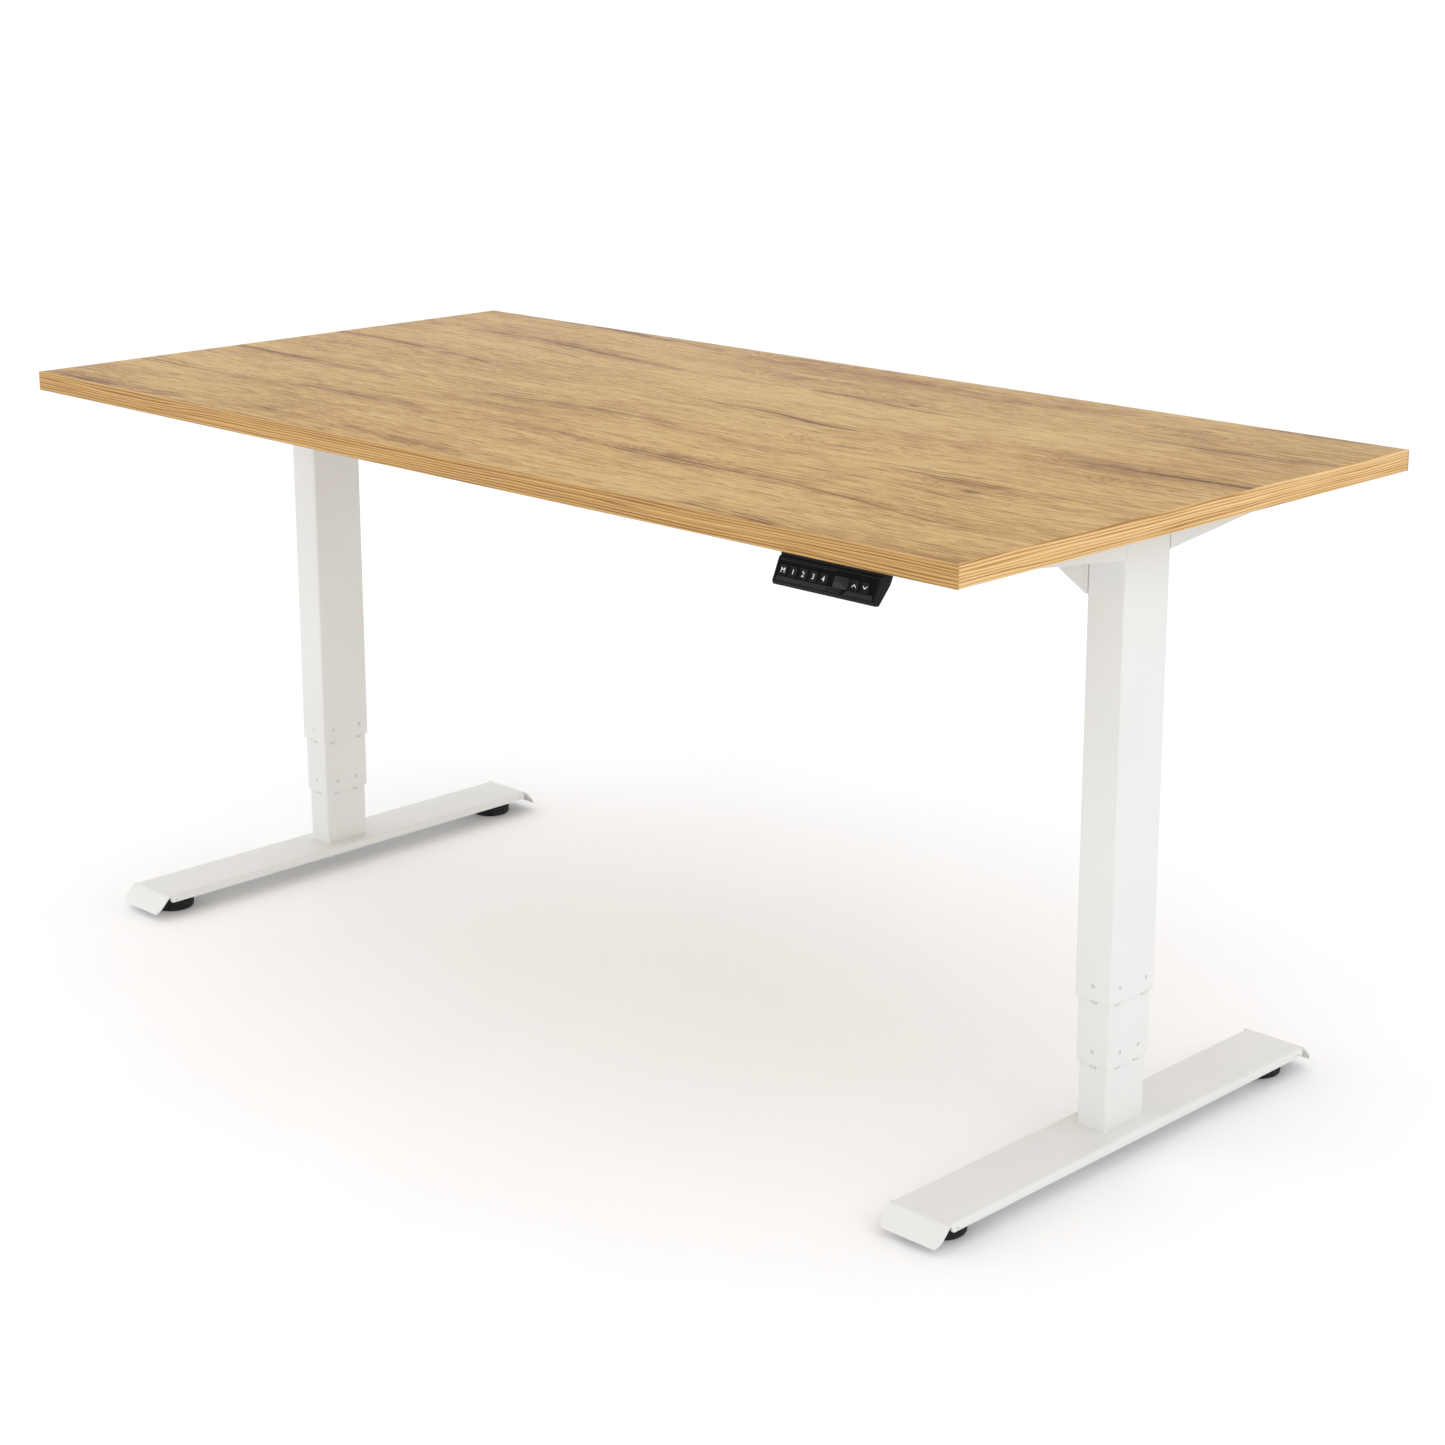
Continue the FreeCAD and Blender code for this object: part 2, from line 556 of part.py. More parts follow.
def upper_peg_holes(size_x, size_y, top_z):
    peg_z = top_z - UPPER_PAD_DROP - UPPER_PAD / 2
    through_x = rod((COLUMN_X - size_x, 0, peg_z), (1, 0, 0), PEG_RADIUS + RUN, 2 * size_x)
    through_y = rod((COLUMN_X, -size_y, peg_z), (0, 1, 0), PEG_RADIUS + RUN, 2 * size_y)
    return Part.makeCompound([through_x, through_y])


OUTER_PEGS = peg_spots(OUTER_X, OUTER_Y, OUTER_END_Z + OUTER_PEG[0], OUTER_PEG[1])
MIDDLE_PEGS = peg_spots(MIDDLE_X, MIDDLE_Y, MIDDLE_END_Z + MIDDLE_PEG[0], MIDDLE_PEG[1])


def make_outer_tube():
    shape = tube(OUTER_X, OUTER_Y, (OUTER_END_Z, COLUMN_TOP))
    start = COLUMN_X - OUTER_X / 2 - CUT
    neck = rod((start, 0, DRIVE_AXIS_Z), (1, 0, 0), NECK_RADIUS + HOLE, TUBE_WALL + 2 * CUT)
    return shape.cut(peg_holes(OUTER_PEGS)).cut(neck)


def make_middle_tube():
    shape = tube(MIDDLE_X, MIDDLE_Y, (MIDDLE_END_Z, MIDDLE_TOP))
    return shape.cut(peg_holes(MIDDLE_PEGS)).cut(upper_peg_holes(MIDDLE_X, MIDDLE_Y, MIDDLE_TOP))


def make_inner_tube():
    shape = tube(INNER_X, INNER_Y, (FOOT_TOP_Z, INNER_TOP))
    return shape.cut(upper_peg_holes(INNER_X, INNER_Y, INNER_TOP))


def make_middle_hub():
    """Nut block in the top of the middle tube: nut for the drive screw, bearing for the hollow screw."""
    z = (MIDDLE_TOP - HUB_HEIGHT, MIDDLE_TOP)
    block = plug(MIDDLE_X, MIDDLE_Y, z)
    thread = rod((COLUMN_X, 0, z[0] - CUT), (0, 0, 1), SCREW_RADIUS + RUN, HUB_HEIGHT + 2 * CUT)
    bearing = rod((COLUMN_X, 0, z[0] - CUT), (0, 0, 1), HOLLOW_RADIUS + RUN, HUB_BEARING + CUT)
    return block.cut(thread).cut(bearing)


def make_base_nut():
    """Nut block in the top of the inner tube, for the hollow screw."""
    z = (INNER_TOP - HUB_HEIGHT, INNER_TOP)
    thread = rod((COLUMN_X, 0, z[0] - CUT), (0, 0, 1), HOLLOW_RADIUS + RUN, HUB_HEIGHT + 2 * CUT)
    return plug(INNER_X, INNER_Y, z).cut(thread)


def make_base_plate():
    """Thick plug welded in the foot of the inner tube, tapped for the foot bolts."""
    block = plug(INNER_X, INNER_Y, (FOOT_TOP_Z, FOOT_TOP_Z + BASE_PLUG))
    holes = [rod((x, y, FOOT_TOP_Z - CUT), (0, 0, 1), BOLT["shank_r"] + RUN, BASE_PLUG + 2 * CUT)
             for x, y in foot_bolt_points()]
    return block.cut(Part.makeCompound(holes))


# ---------------------------------------------------------------- drive
def make_gearbox():
    """Housing of the worm gear, inside the head of the outer tube."""
    z = (GEARBOX_Z, GEARBOX_Z + GEARBOX_HEIGHT)
    block = plug(OUTER_X, OUTER_Y, z)
    depth = JOURNAL_LENGTH + JOURNAL_END + CUT
    return block.cut(rod((COLUMN_X, 0, z[0] - CUT), (0, 0, 1), JOURNAL_RADIUS + RUN, depth))


def make_motor():
    """Motor can along X with a neck into the gearbox and an end cap with a plug seat."""
    face = column_flange_x()
    neck_end = COLUMN_X - OUTER_X / 2 + TUBE_WALL
    neck = rod((face - CUT, 0, DRIVE_AXIS_Z), (1, 0, 0), NECK_RADIUS, neck_end - face + CUT)
    tail = face - MOTOR_LENGTH
    can = rod((tail, 0, DRIVE_AXIS_Z), (1, 0, 0), MOTOR_RADIUS, MOTOR_LENGTH)
    can = can.makeFillet(MOTOR_EDGE, [e for e in can.Edges if abs(e.BoundBox.XMax - tail) < SAME])
    cap = rod((tail - MOTOR_CAP, 0, DRIVE_AXIS_Z), (1, 0, 0), MOTOR_RADIUS - MOTOR_CAP, MOTOR_CAP + CUT)
    low = DRIVE_AXIS_Z - MOTOR_RADIUS - SEAT_SIZE[2]
    seat_x = face - SEAT_X
    seat = box(centred(seat_x, SEAT_SIZE[0]), centred(0.0, SEAT_SIZE[1]), (low, DRIVE_AXIS_Z))
    well_x = centred(seat_x, SEAT_SIZE[0] - 2 * SEAT_WALL)
    recess = box(well_x, centred(0.0, SEAT_SIZE[1] - 2 * SEAT_WALL), (low - CUT, low + SEAT_DEPTH))
    return fused([can, neck, cap, seat]).cut(recess)


def make_drive_screw():
    """Solid screw hung from the gearbox, with its journal running in the housing."""
    low = FOOT_TOP_Z + BASE_PLUG + DRIVE_GAP + TRAVEL_DOWN
    shaft = rod((COLUMN_X, 0, low), (0, 0, 1), SCREW_RADIUS, GEARBOX_Z - FREE - low)
    start = GEARBOX_Z - FREE - CUT
    journal = rod((COLUMN_X, 0, start), (0, 0, 1), JOURNAL_RADIUS, GEARBOX_Z + JOURNAL_LENGTH - start)
    return fused([shaft, journal])


def make_hollow_screw():
    """Hollow screw round the drive screw, its upper end running in the hub of the middle tube."""
    low = FOOT_TOP_Z + BASE_PLUG + HOLLOW_GAP + TRAVEL_DOWN / 2
    high = MIDDLE_TOP - HUB_HEIGHT + HUB_BEARING - FREE
    return ring((COLUMN_X, 0, low), (0, 0, 1), HOLLOW_RADIUS, SCREW_RADIUS + FREE, high - low)


# ---------------------------------------------------------------- feet
def foot_bolt_points():
    return [(COLUMN_X + sx * FOOT_BOLT_X, sy * FOOT_BOLT_Y) for sx in (-1, 1) for sy in (-1, 1)]


def flap_section(s):
    """Side view of one end: level strip, bend and sloping flap, as a face in the YZ plane."""
    a = math.radians(FLAP_ANGLE)
    t, r = FOOT_SHEET, FLAP_BEND
    bend_y = FOOT_FLAT / 2
    centre_z = FOOT_TOP_Z - r
    start_y = foot_side_end() - FOOT_BEND

    def at(radius, angle, along=0.0):
        """Point on the bend at an angle from the vertical, moved along the slope."""
        y = bend_y + radius * math.sin(angle) + along * math.cos(a)
        z = centre_z + radius * math.cos(angle) - along * math.sin(a)
        return V(0, s * y, z)

    top = [Part.makeLine(V(0, s * start_y, FOOT_TOP_Z), at(r, 0)),
           Part.Arc(at(r, 0), at(r, a / 2), at(r, a)).toShape(),
           Part.makeLine(at(r, a), at(r, a, FLAP_SLOPE)),
           Part.makeLine(at(r, a, FLAP_SLOPE), at(r - t, a, FLAP_SLOPE))]
    under = [Part.makeLine(at(r - t, a, FLAP_SLOPE), at(r - t, a)),
             Part.Arc(at(r - t, a), at(r - t, a / 2), at(r - t, 0)).toShape(),
             Part.makeLine(at(r - t, 0), V(0, s * start_y, FOOT_TOP_Z - t)),
             Part.makeLine(V(0, s * start_y, FOOT_TOP_Z - t), V(0, s * start_y, FOOT_TOP_Z))]
    return Part.Face(Part.Wire(top + under))


def foot_side_end():
    """The folded sides stop a little before the flap's bend."""
    return FOOT_FLAT / 2 - SIDE_SHORT


def foot_reach():
    """Distance from the column to the tip of a flap."""
    a = math.radians(FLAP_ANGLE)
    return FOOT_FLAT / 2 + FLAP_BEND * math.sin(a) + FLAP_SLOPE * math.cos(a)


def foot_side_view():
    """Side view of the folded part: level above, with rounded lower corners, through the full width."""
    end, low = foot_side_end(), FOOT_TOP_Z - FOOT_FLANGE
    x = (COLUMN_X - FOOT_WIDTH, COLUMN_X + FOOT_WIDTH)
    slab = box(x, (-end, end), (low, FOOT_TOP_Z + CUT))
    corners = [e for e in slab.Edges if abs(e.BoundBox.ZMax - low) < SAME and e.BoundBox.XLength > FOOT_WIDTH]
    return slab.makeFillet(SIDE_CORNER, corners)


def make_foot():
    half, t = FOOT_WIDTH / 2, FOOT_SHEET
    end, low = foot_side_end(), FOOT_TOP_Z - FOOT_FLANGE
    x = centred(COLUMN_X, FOOT_WIDTH)
    outer = box(x, (-end, end), (0.0, FOOT_TOP_Z))
    outer = outer.makeFillet(FOOT_BEND, [e for e in outer.Edges if is_fold(e, FOOT_TOP_Z, x)])
    hollow_x = centred(COLUMN_X, FOOT_WIDTH - 2 * t)
    hollow = box(hollow_x, (-end - CUT, end + CUT), (-CUT, FOOT_TOP_Z - t))
    inner_fold = [e for e in hollow.Edges if is_fold(e, FOOT_TOP_Z - t, hollow_x)]
    hollow = hollow.makeFillet(FOOT_BEND - t, inner_fold)
    body = outer.cut(hollow).common(foot_side_view())

    plan = rounded_box(x, (-foot_reach(), foot_reach()), (0.0, FOOT_TOP_Z + CUT), FLAP_CORNER)
    flaps = []
    for s in (-1, 1):
        section = flap_section(s)
        section.translate(V(COLUMN_X - half, 0, 0))
        flaps.append(section.extrude(V(FOOT_WIDTH, 0, 0)).common(plan))
    neck_x = centred(COLUMN_X, FOOT_WIDTH - 2 * FOOT_BEND)
    start = end - FOOT_BEND
    necks = []
    for flap, s in zip(flaps, (-1, 1)):
        y, z = sorted((s * start, s * (end + RELIEF))), (low, FOOT_TOP_Z + CUT)
        shoulder = box((x[0] - CUT, x[1] + CUT), y, z)
        keep = box(neck_x, y, z)
        necks.append(flap.cut(shoulder.cut(keep)))
    foot = fused([body] + necks)

    cuts = [rod((px, py, low), (0, 0, 1), BOLT["shank_r"] + HOLE, FOOT_TOP_Z)
            for px, py in foot_bolt_points()]
    from_bend, below, radius = DRAIN
    for s in (-1, 1):
        point = (COLUMN_X - half - CUT, s * (FOOT_FLAT / 2 - from_bend), FOOT_TOP_Z - below)
        cuts.append(rod(point, (1, 0, 0), radius, FOOT_WIDTH + 2 * CUT))
    return foot.cut(Part.makeCompound(cuts))


def make_glide_nuts():
    """Nuts welded under the sheet of the feet, with a broad collar, for the levelling glides."""
    nuts = []
    under = FOOT_TOP_Z - FOOT_SHEET
    for side in (-1, 1):
        for s in (-1, 1):
            x, y = side * COLUMN_X, s * GLIDE_Y
            barrel = rod((x, y, under - GLIDE_NUT), (0, 0, 1), STUD_RADIUS + NUT_WALL, GLIDE_NUT)
            collar = rod((x, y, under - COLLAR[1]), (0, 0, 1), STUD_RADIUS + COLLAR[0], COLLAR[1])
            bore = rod((x, y, under - GLIDE_NUT - CUT), (0, 0, 1), STUD_RADIUS + RUN, GLIDE_NUT + 2 * CUT)
            nuts.append(fused([barrel, collar]).cut(bore))
    save("glide_nuts", nuts)


def make_levelling_glide(x, y):
    """Round glide with a rounded lower rim and grip flutes, and its threaded stud."""
    disc = rod((x, y, 0), (0, 0, 1), GLIDE_RADIUS, GLIDE_HEIGHT)
    low_rim = [e for e in disc.Edges if abs(e.BoundBox.ZMax) < SAME]
    disc = disc.makeFillet(GLIDE_LOW_RIM, low_rim)
    top_rim = [e for e in disc.Edges if abs(e.BoundBox.ZMin - GLIDE_HEIGHT) < SAME]
    disc = disc.makeFillet(GLIDE_TOP_RIM, top_rim)
    flutes = []
    for i in range(FLUTES):
        angle = 2 * math.pi * i / FLUTES
        spot = (x + GLIDE_RADIUS * math.cos(angle), y + GLIDE_RADIUS * math.sin(angle), FLUTE_START)
        flutes.append(rod(spot, (0, 0, 1), FLUTE_RADIUS, GLIDE_HEIGHT))
    disc = disc.cut(Part.makeCompound(flutes))
    stud_low, stud_top = GLIDE_HEIGHT - CUT, FOOT_TOP_Z - FOOT_SHEET - STUD_CLEAR
    return fused([disc, rod((x, y, stud_low), (0, 0, 1), STUD_RADIUS, stud_top - stud_low)])


def make_foot_bolts():
    bolts = []
    under = FOOT_TOP_Z - FOOT_SHEET
    for side in (-1, 1):
        for x, y in foot_bolt_points():
            head = rod((side * x, y, under - BOLT["head_h"]), (0, 0, 1), BOLT["head_r"], BOLT["head_h"])
            shank = rod((side * x, y, under), (0, 0, 1), BOLT["shank_r"], FOOT_BOLT_LENGTH)
            bolts.append(fused([head, shank]))
    save("foot_bolts", bolts)


# ---------------------------------------------------------------- control box
def make_control_box():
    """Electronics box under the top, with ears for its screws and a row of sockets along the back."""
    (sx, sy, sz), (cx, cy) = CONTROL_SIZE, CONTROL_CENTRE
    x, y, z = centred(cx, sx), centred(cy, sy), (UNDER_TOP - sz, UNDER_TOP)
    case = rounded_box(x, y, z, CONTROL_CORNER)
    case = case.makeFillet(CONTROL_EDGE, [e for e in case.Edges if abs(e.BoundBox.ZMax - z[0]) < SAME])
    ear_z = (UNDER_TOP - CONTROL_EAR, UNDER_TOP)
    ears = [rounded_box(centred(px, EAR_SIZE), centred(py, EAR_SIZE), ear_z, EAR_CORNER)
            for px, py in control_screw_points()]
    cuts = [rod((px, py, ear_z[0] - CUT), (0, 0, 1), WOOD_SCREW["shank_r"] + HOLE, CONTROL_EAR + 2 * CUT)
            for px, py in control_screw_points()]
    cuts += [box(centred(px, wide), (y[1] - SOCKET_DEPTH, y[1] + CUT), centred(socket_z(), SOCKET_HEIGHT))
             for px, wide in socket_places()]
    save("control_box", fused([case] + ears).cut(Part.makeCompound(cuts)))

    inserts = []
    for px, wide in socket_places():
        depth = (y[1] - SOCKET_DEPTH, y[1] - SOCKET_SUNK)
        block = box(centred(px, wide - 2 * SNUG), depth, centred(socket_z(), SOCKET_HEIGHT - 2 * SNUG))
        well_z = centred(socket_z(), SOCKET_HEIGHT - 2 * SOCKET_WALL)
        well = box(centred(px, wide - 2 * SOCKET_WALL), (depth[0] + SOCKET_WALL, y[1]), well_z)
        inserts.append(block.cut(well))
    save("control_sockets", inserts)


def socket_z():
    return UNDER_TOP - CONTROL_SIZE[2] / 2 - SOCKET_DROP


def socket_places():
    """Power inlet, two motor sockets and the handset socket: (x, width)."""
    return [(CONTROL_CENTRE[0] + x, width) for x, width in SOCKETS]


# ---------------------------------------------------------------- handset

def on_face(shape):
    """Place a shape drawn flat (x along the handset, y up its face, z out of it) on the sloping face."""
    middle_y = -TOP_DEPTH / 2 - FACE_IN[0] - HANDSET_LEAN / 2
    middle = V(HANDSET_X, middle_y, UNDER_TOP - FACE_IN[1] - HANDSET_DROP / 2)
    lean = math.degrees(FACE_ANGLE)
    placed = shape.copy()
    placed.rotate(V(0, 0, 0), V(1, 0, 0), 90.0 - lean)
    placed.translate(middle)
    return placed


def flat_block(u, v, size, n):
    """Block on the flat face: centre (u, v), size, and (low, high) along the normal."""
    return box(centred(u, size[0]), centred(v, size[1]), n)


def make_handset():
    front = -TOP_DEPTH / 2
    x0 = HANDSET_X - HANDSET_WIDTH / 2
    z = UNDER_TOP
    face_top = (front - FACE_IN[0], z - FACE_IN[1])
    face_low = (face_top[0] - HANDSET_LEAN, face_top[1] - HANDSET_DROP)
    chin = [(face_low[0] + y, face_low[1] + drop) for y, drop in CHIN]
    back = [(front + y, z + drop) for y, drop in BACK]
    outline = [(front + CUT, z - FLANGE_THICK), face_top, face_low] + chin + back
    body = prism([(x0, y, zz) for y, zz in outline], (HANDSET_WIDTH, 0, 0))
    ends = [e for e in body.Edges if e.BoundBox.XLength < SAME and e.BoundBox.ZMax < z - FLANGE_THICK - SAME]
    body = body.makeFillet(HANDSET_EDGE, ends)
    flange_y = (front + FLANGE_IN[0], front + FLANGE_IN[1])
    flange = rounded_box(centred(HANDSET_X, FLANGE_WIDTH), flange_y, (z - FLANGE_THICK, z), FLANGE_CORNER)
    shell = fused([body, flange])
    pocket_size = (PANEL_SIZE[0] + 2 * SNUG, PANEL_SIZE[1] + 2 * SNUG)
    panel_pocket = on_face(flat_block(0, 0, pocket_size, (-PANEL_THICK, CUT)))
    cavity = on_face(flat_block(0, 0, CAVITY_SIZE, (-CAVITY_DEPTH, 0)))
    cuts = [panel_pocket, cavity]
    start, length = z - FLANGE_THICK - CUT, FLANGE_THICK + 2 * CUT
    cuts += [rod((x, y, start), (0, 0, 1), WOOD_SCREW["shank_r"] + HOLE, length)
             for x, y in handset_screw_points()]
    behind, drop, radius, depth = CABLE_SOCKET
    cuts.append(rod((HANDSET_X, front + behind, z + drop), (0, -1, 0), radius, depth))
    save("handset_housing", shell.cut(Part.makeCompound(cuts)))

    panel = flat_block(0, 0, PANEL_SIZE, (-PANEL_THICK, 0))
    upright = [e for e in panel.Edges if abs(e.tangentAt(e.FirstParameter).z) > 0.9]
    panel = panel.makeFillet(KEY_CORNER, upright)
    through = (-PANEL_THICK - CUT, CUT)
    openings = [rounded_flat(u, KEY_SIZE + 4 * SNUG, through) for u in KEY_U.values()]
    window_hole = (DISPLAY_SIZE[0] + 2 * SNUG, DISPLAY_SIZE[1] + 2 * SNUG)
    openings.append(flat_block(DISPLAY_U, 0, window_hole, through))
    save("handset_panel", on_face(panel.cut(Part.makeCompound(openings))))

    save("display_window", on_face(flat_block(DISPLAY_U, 0, DISPLAY_SIZE, (-PANEL_THICK, -DISPLAY_SUNK))))
    back = -CAVITY_DEPTH + BOARD_THICK
    module_size = (DISPLAY_SIZE[0] + MODULE_BORDER, DISPLAY_SIZE[1] + MODULE_BORDER)
    save("display_module", on_face(flat_block(DISPLAY_U, 0, module_size, (back, -PANEL_THICK))))
    board_size = (CAVITY_SIZE[0] - 2 * SNUG, CAVITY_SIZE[1] - 2 * SNUG)
    save("handset_circuit_board", on_face(flat_block(0, 0, board_size, (-CAVITY_DEPTH, back))))

    skirt_top = -PANEL_THICK - SNUG
    for name, u in KEY_U.items():
        cap = rounded_flat(u, KEY_SIZE, (skirt_top - SKIRT_HEIGHT, KEY_PROUD))
        rim = [e for e in cap.Edges if abs(e.BoundBox.ZMin - KEY_PROUD) < SAME]
        cap = cap.makeFillet(KEY_RIM, rim)
        wide = KEY_SIZE + 2 * KEY_SKIRT
        skirt = flat_block(u, 0, (wide, wide), (skirt_top - SKIRT_HEIGHT, skirt_top))
        save(name, on_face(fused([cap, skirt])))


def rounded_flat(u, size, n):
    return rounded_box(centred(u, size), centred(0.0, size), n, KEY_CORNER)


# ---------------------------------------------------------------- build everything
make_desktop()
make_wood_screws()
make_damping_pads()
make_centre_beam()
make_frame_fixings()
make_control_box()
make_handset()
make_foot_bolts()
make_glide_nuts()

base_plate, base_nut = make_base_plate(), make_base_nut()
outer_pads = pads_inside(OUTER_X, OUTER_Y, OUTER_END_Z, OUTER_PEGS)
inner_pads = pads_outside(INNER_X, INNER_Y, INNER_TOP)
middle_pads = pads_inside(MIDDLE_X, MIDDLE_Y, MIDDLE_END_Z, MIDDLE_PEGS)
middle_pads += pads_outside(MIDDLE_X, MIDDLE_Y, MIDDLE_TOP)

PAIRS = {
    "side_bracket": make_side_bracket(), "crossbeam_end": make_end_rail(),
    "head_bracket": make_head_bracket(),
    "outer_tube": make_outer_tube(), "middle_tube": make_middle_tube(), "inner_tube": make_inner_tube(),
    "gearbox": make_gearbox(), "motor": make_motor(), "drive_screw": make_drive_screw(),
    "hollow_screw": make_hollow_screw(), "middle_hub": make_middle_hub(), "foot": make_foot(),
    "middle_pads": Part.makeCompound(middle_pads),
}
for side_name, side in SIDES.items():
    for node, shape in PAIRS.items():
        save("%s_%s" % (node, side_name), mirrored(shape, side))
    for end_name, s in (("front", -1), ("back", 1)):
        glide = make_levelling_glide(side * COLUMN_X, s * GLIDE_Y)
        save("levelling_glide_%s_%s" % (end_name, side_name), glide)

save("base_plates", [mirrored(base_plate, s) for s in SIDES.values()])
save("base_nuts", [mirrored(base_nut, s) for s in SIDES.values()])
save("outer_pads", [mirrored(p, s) for s in SIDES.values() for p in outer_pads])
save("inner_pads", [mirrored(p, s) for s in SIDES.values() for p in inner_pads])
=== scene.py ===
"""Looks of the height adjustable desk, laid out as an add-on: one operator per piece or group of pieces."""
import json
import math
from functools import partial

import bmesh
import bpy
import numpy as np
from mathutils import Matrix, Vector


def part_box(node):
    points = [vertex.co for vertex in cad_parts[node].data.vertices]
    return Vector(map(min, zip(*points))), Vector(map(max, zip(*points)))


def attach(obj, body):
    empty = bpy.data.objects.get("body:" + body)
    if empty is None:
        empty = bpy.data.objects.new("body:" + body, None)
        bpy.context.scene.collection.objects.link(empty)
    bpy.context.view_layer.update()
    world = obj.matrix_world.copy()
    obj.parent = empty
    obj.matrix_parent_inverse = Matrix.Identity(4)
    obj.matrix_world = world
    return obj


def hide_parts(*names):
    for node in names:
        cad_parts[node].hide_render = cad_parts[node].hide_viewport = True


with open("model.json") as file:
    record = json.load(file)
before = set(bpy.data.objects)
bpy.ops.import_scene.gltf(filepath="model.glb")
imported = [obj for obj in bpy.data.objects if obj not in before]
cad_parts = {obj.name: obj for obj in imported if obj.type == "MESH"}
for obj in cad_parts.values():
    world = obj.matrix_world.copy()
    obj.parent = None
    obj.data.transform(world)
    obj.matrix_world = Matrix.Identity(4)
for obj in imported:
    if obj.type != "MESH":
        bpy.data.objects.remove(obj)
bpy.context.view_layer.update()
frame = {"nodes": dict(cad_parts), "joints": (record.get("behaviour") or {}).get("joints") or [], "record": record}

bl_info = {
    "name": "Height adjustable desk",
    "version": (1, 0, 0),
    "blender": (4, 5, 0),
    "location": "3D View > Sidebar > Desk",
    "description": "Builds the visible surfaces and finishes of a height adjustable desk on its CAD frame",
    "category": "Object",
}

# Lengths in metres, angles in degrees.
PANEL_THICK = 0.0016           # the handset panel, as in the CAD model
HOUSING_EDGE = 0.0005          # rounding of the handset's housing
PANEL_EDGE = 0.00025           # rounding of the handset's panel
FINE_EDGE = 0.0004             # rounding of the crossbeam and the motors
BLUNT_EDGE = 0.0006            # rounding of the feet and the control box
BOARD_EDGE = (0.0004, 0.0003)  # rounding of the board: upright corners, then rims
WELD_REACH = 1e-6              # corners of a CAD mesh this near are one
FLAT_WITHIN = 0.5              # faces this near to level with each other are one
BEVEL_FROM = 40.0              # sharper edges are rounded
COPY_SMOOTH = 35.0             # sharper edges stay crisp on copies of CAD parts
GLIDE_SMOOTH = 40.0            # the same on the glides
RIM_STEPS = 4                  # facets of a rounded rim
LEAST_CORNER = 1e-5            # smallest corner of a shrunken outline
SIDES = ("left", "right")
ENDS = ("front", "back")
KEYS = {"key_memory": "M", "key_1": "1", "key_2": "2", "key_3": "3", "key_4": "4",
        "key_up": "up", "key_down": "down"}


# ---------------------------------------------------------------- colour and nodes
def linear(hex_value):
    """sRGB hex to linear RGBA."""
    channels = [int(hex_value[i:i + 2], 16) / 255 for i in (0, 2, 4)]
    return tuple(c / 12.92 if c <= 0.04045 else ((c + 0.055) / 1.055) ** 2.4 for c in channels) + (1.0,)


def node(tree, kind, inputs=(), out=0, stops=(), **settings):
    """Adds a shader node and gives back one output. Inputs go by place or name and are numbers or other
    outputs; a ramp has stops; the rest are settings of the node itself."""
    made = tree.nodes.new("ShaderNode" + kind)
    for name, value in settings.items():
        setattr(made, name, value)
    for key, value in (inputs.items() if isinstance(inputs, dict) else enumerate(inputs)):
        if isinstance(value, bpy.types.NodeSocket):
            tree.links.new(value, made.inputs[key])
        elif value is not None:
            made.inputs[key].default_value = value
    for place, (position, colour) in enumerate(stops):
        elements = made.color_ramp.elements
        stop = elements[place] if place < 2 else elements.new(position)
        stop.position, stop.color = position, colour
    return made.outputs[out]


def finish(name, inputs):
    """Starts a material: its Principled shader's constant numbers are set on the shader's own sockets."""
    material = bpy.data.materials.new(name)
    material.use_nodes = True
    tree = material.node_tree
    tree.nodes.clear()
    surface = node(tree, "BsdfPrincipled", inputs)
    node_output = tree.nodes.new("ShaderNodeOutputMaterial")
    tree.links.new(surface, node_output.inputs["Surface"])
    return material, tree, surface.node


# ---------------------------------------------------------------- settings
length_setting = partial(bpy.props.FloatProperty, unit="LENGTH")
colour_setting = partial(bpy.props.FloatVectorProperty, subtype="COLOR", size=4)


class DeskSizes(bpy.types.PropertyGroup):
    """Sizes of the fine shapes that the CAD model leaves plain."""
    arris: length_setting(
        name="Arris", description="Radius of the edge band's outer arrises", default=0.0015)
    coat_round: length_setting(
        name="Coat rounding", description="Rounding that powder coat gives to cut sheet edges",
        default=0.0005)
    glide_ribs: bpy.props.IntProperty(
        name="Glide ribs", description="Grip ribs round a levelling glide", default=36, min=12, max=60)
    legend_height: length_setting(
        name="Legend height", description="Height of the signs on the keys", default=0.0056)
    lamella_width: length_setting(
        name="Lamella width", description="Width of the oak lamellas in the decor", default=0.150)
    ring_pitch: length_setting(
        name="Ring pitch", description="Spacing of the growth rings in the decor", default=0.012)
    hair_pitch: length_setting(
        name="Hair crack pitch", description="Spacing of the hair cracks in the decor", default=0.026)


class DeskColours(bpy.types.PropertyGroup):
    """Base colours of the finishes, in linear light."""
    oak_light: colour_setting(
        name="Oak, light", description="Early wood of the decor", default=linear("CCAA6C"))
    oak_middle: colour_setting(
        name="Oak, middle", description="Body of the decor", default=linear("B38B52"))
    oak_dark: colour_setting(
        name="Oak, dark", description="Late wood of the decor", default=linear("8F6634"))
    oak_crack: colour_setting(
        name="Oak, cracks", description="Cracks, knots and pores", default=linear("5C3208"))
    powder_white: colour_setting(
        name="Powder white", description="Coat on the frame, columns and feet", default=linear("E1E1DE"))
    handset_black: colour_setting(
        name="Handset black", description="Housing of the handset", default=linear("09090A"))


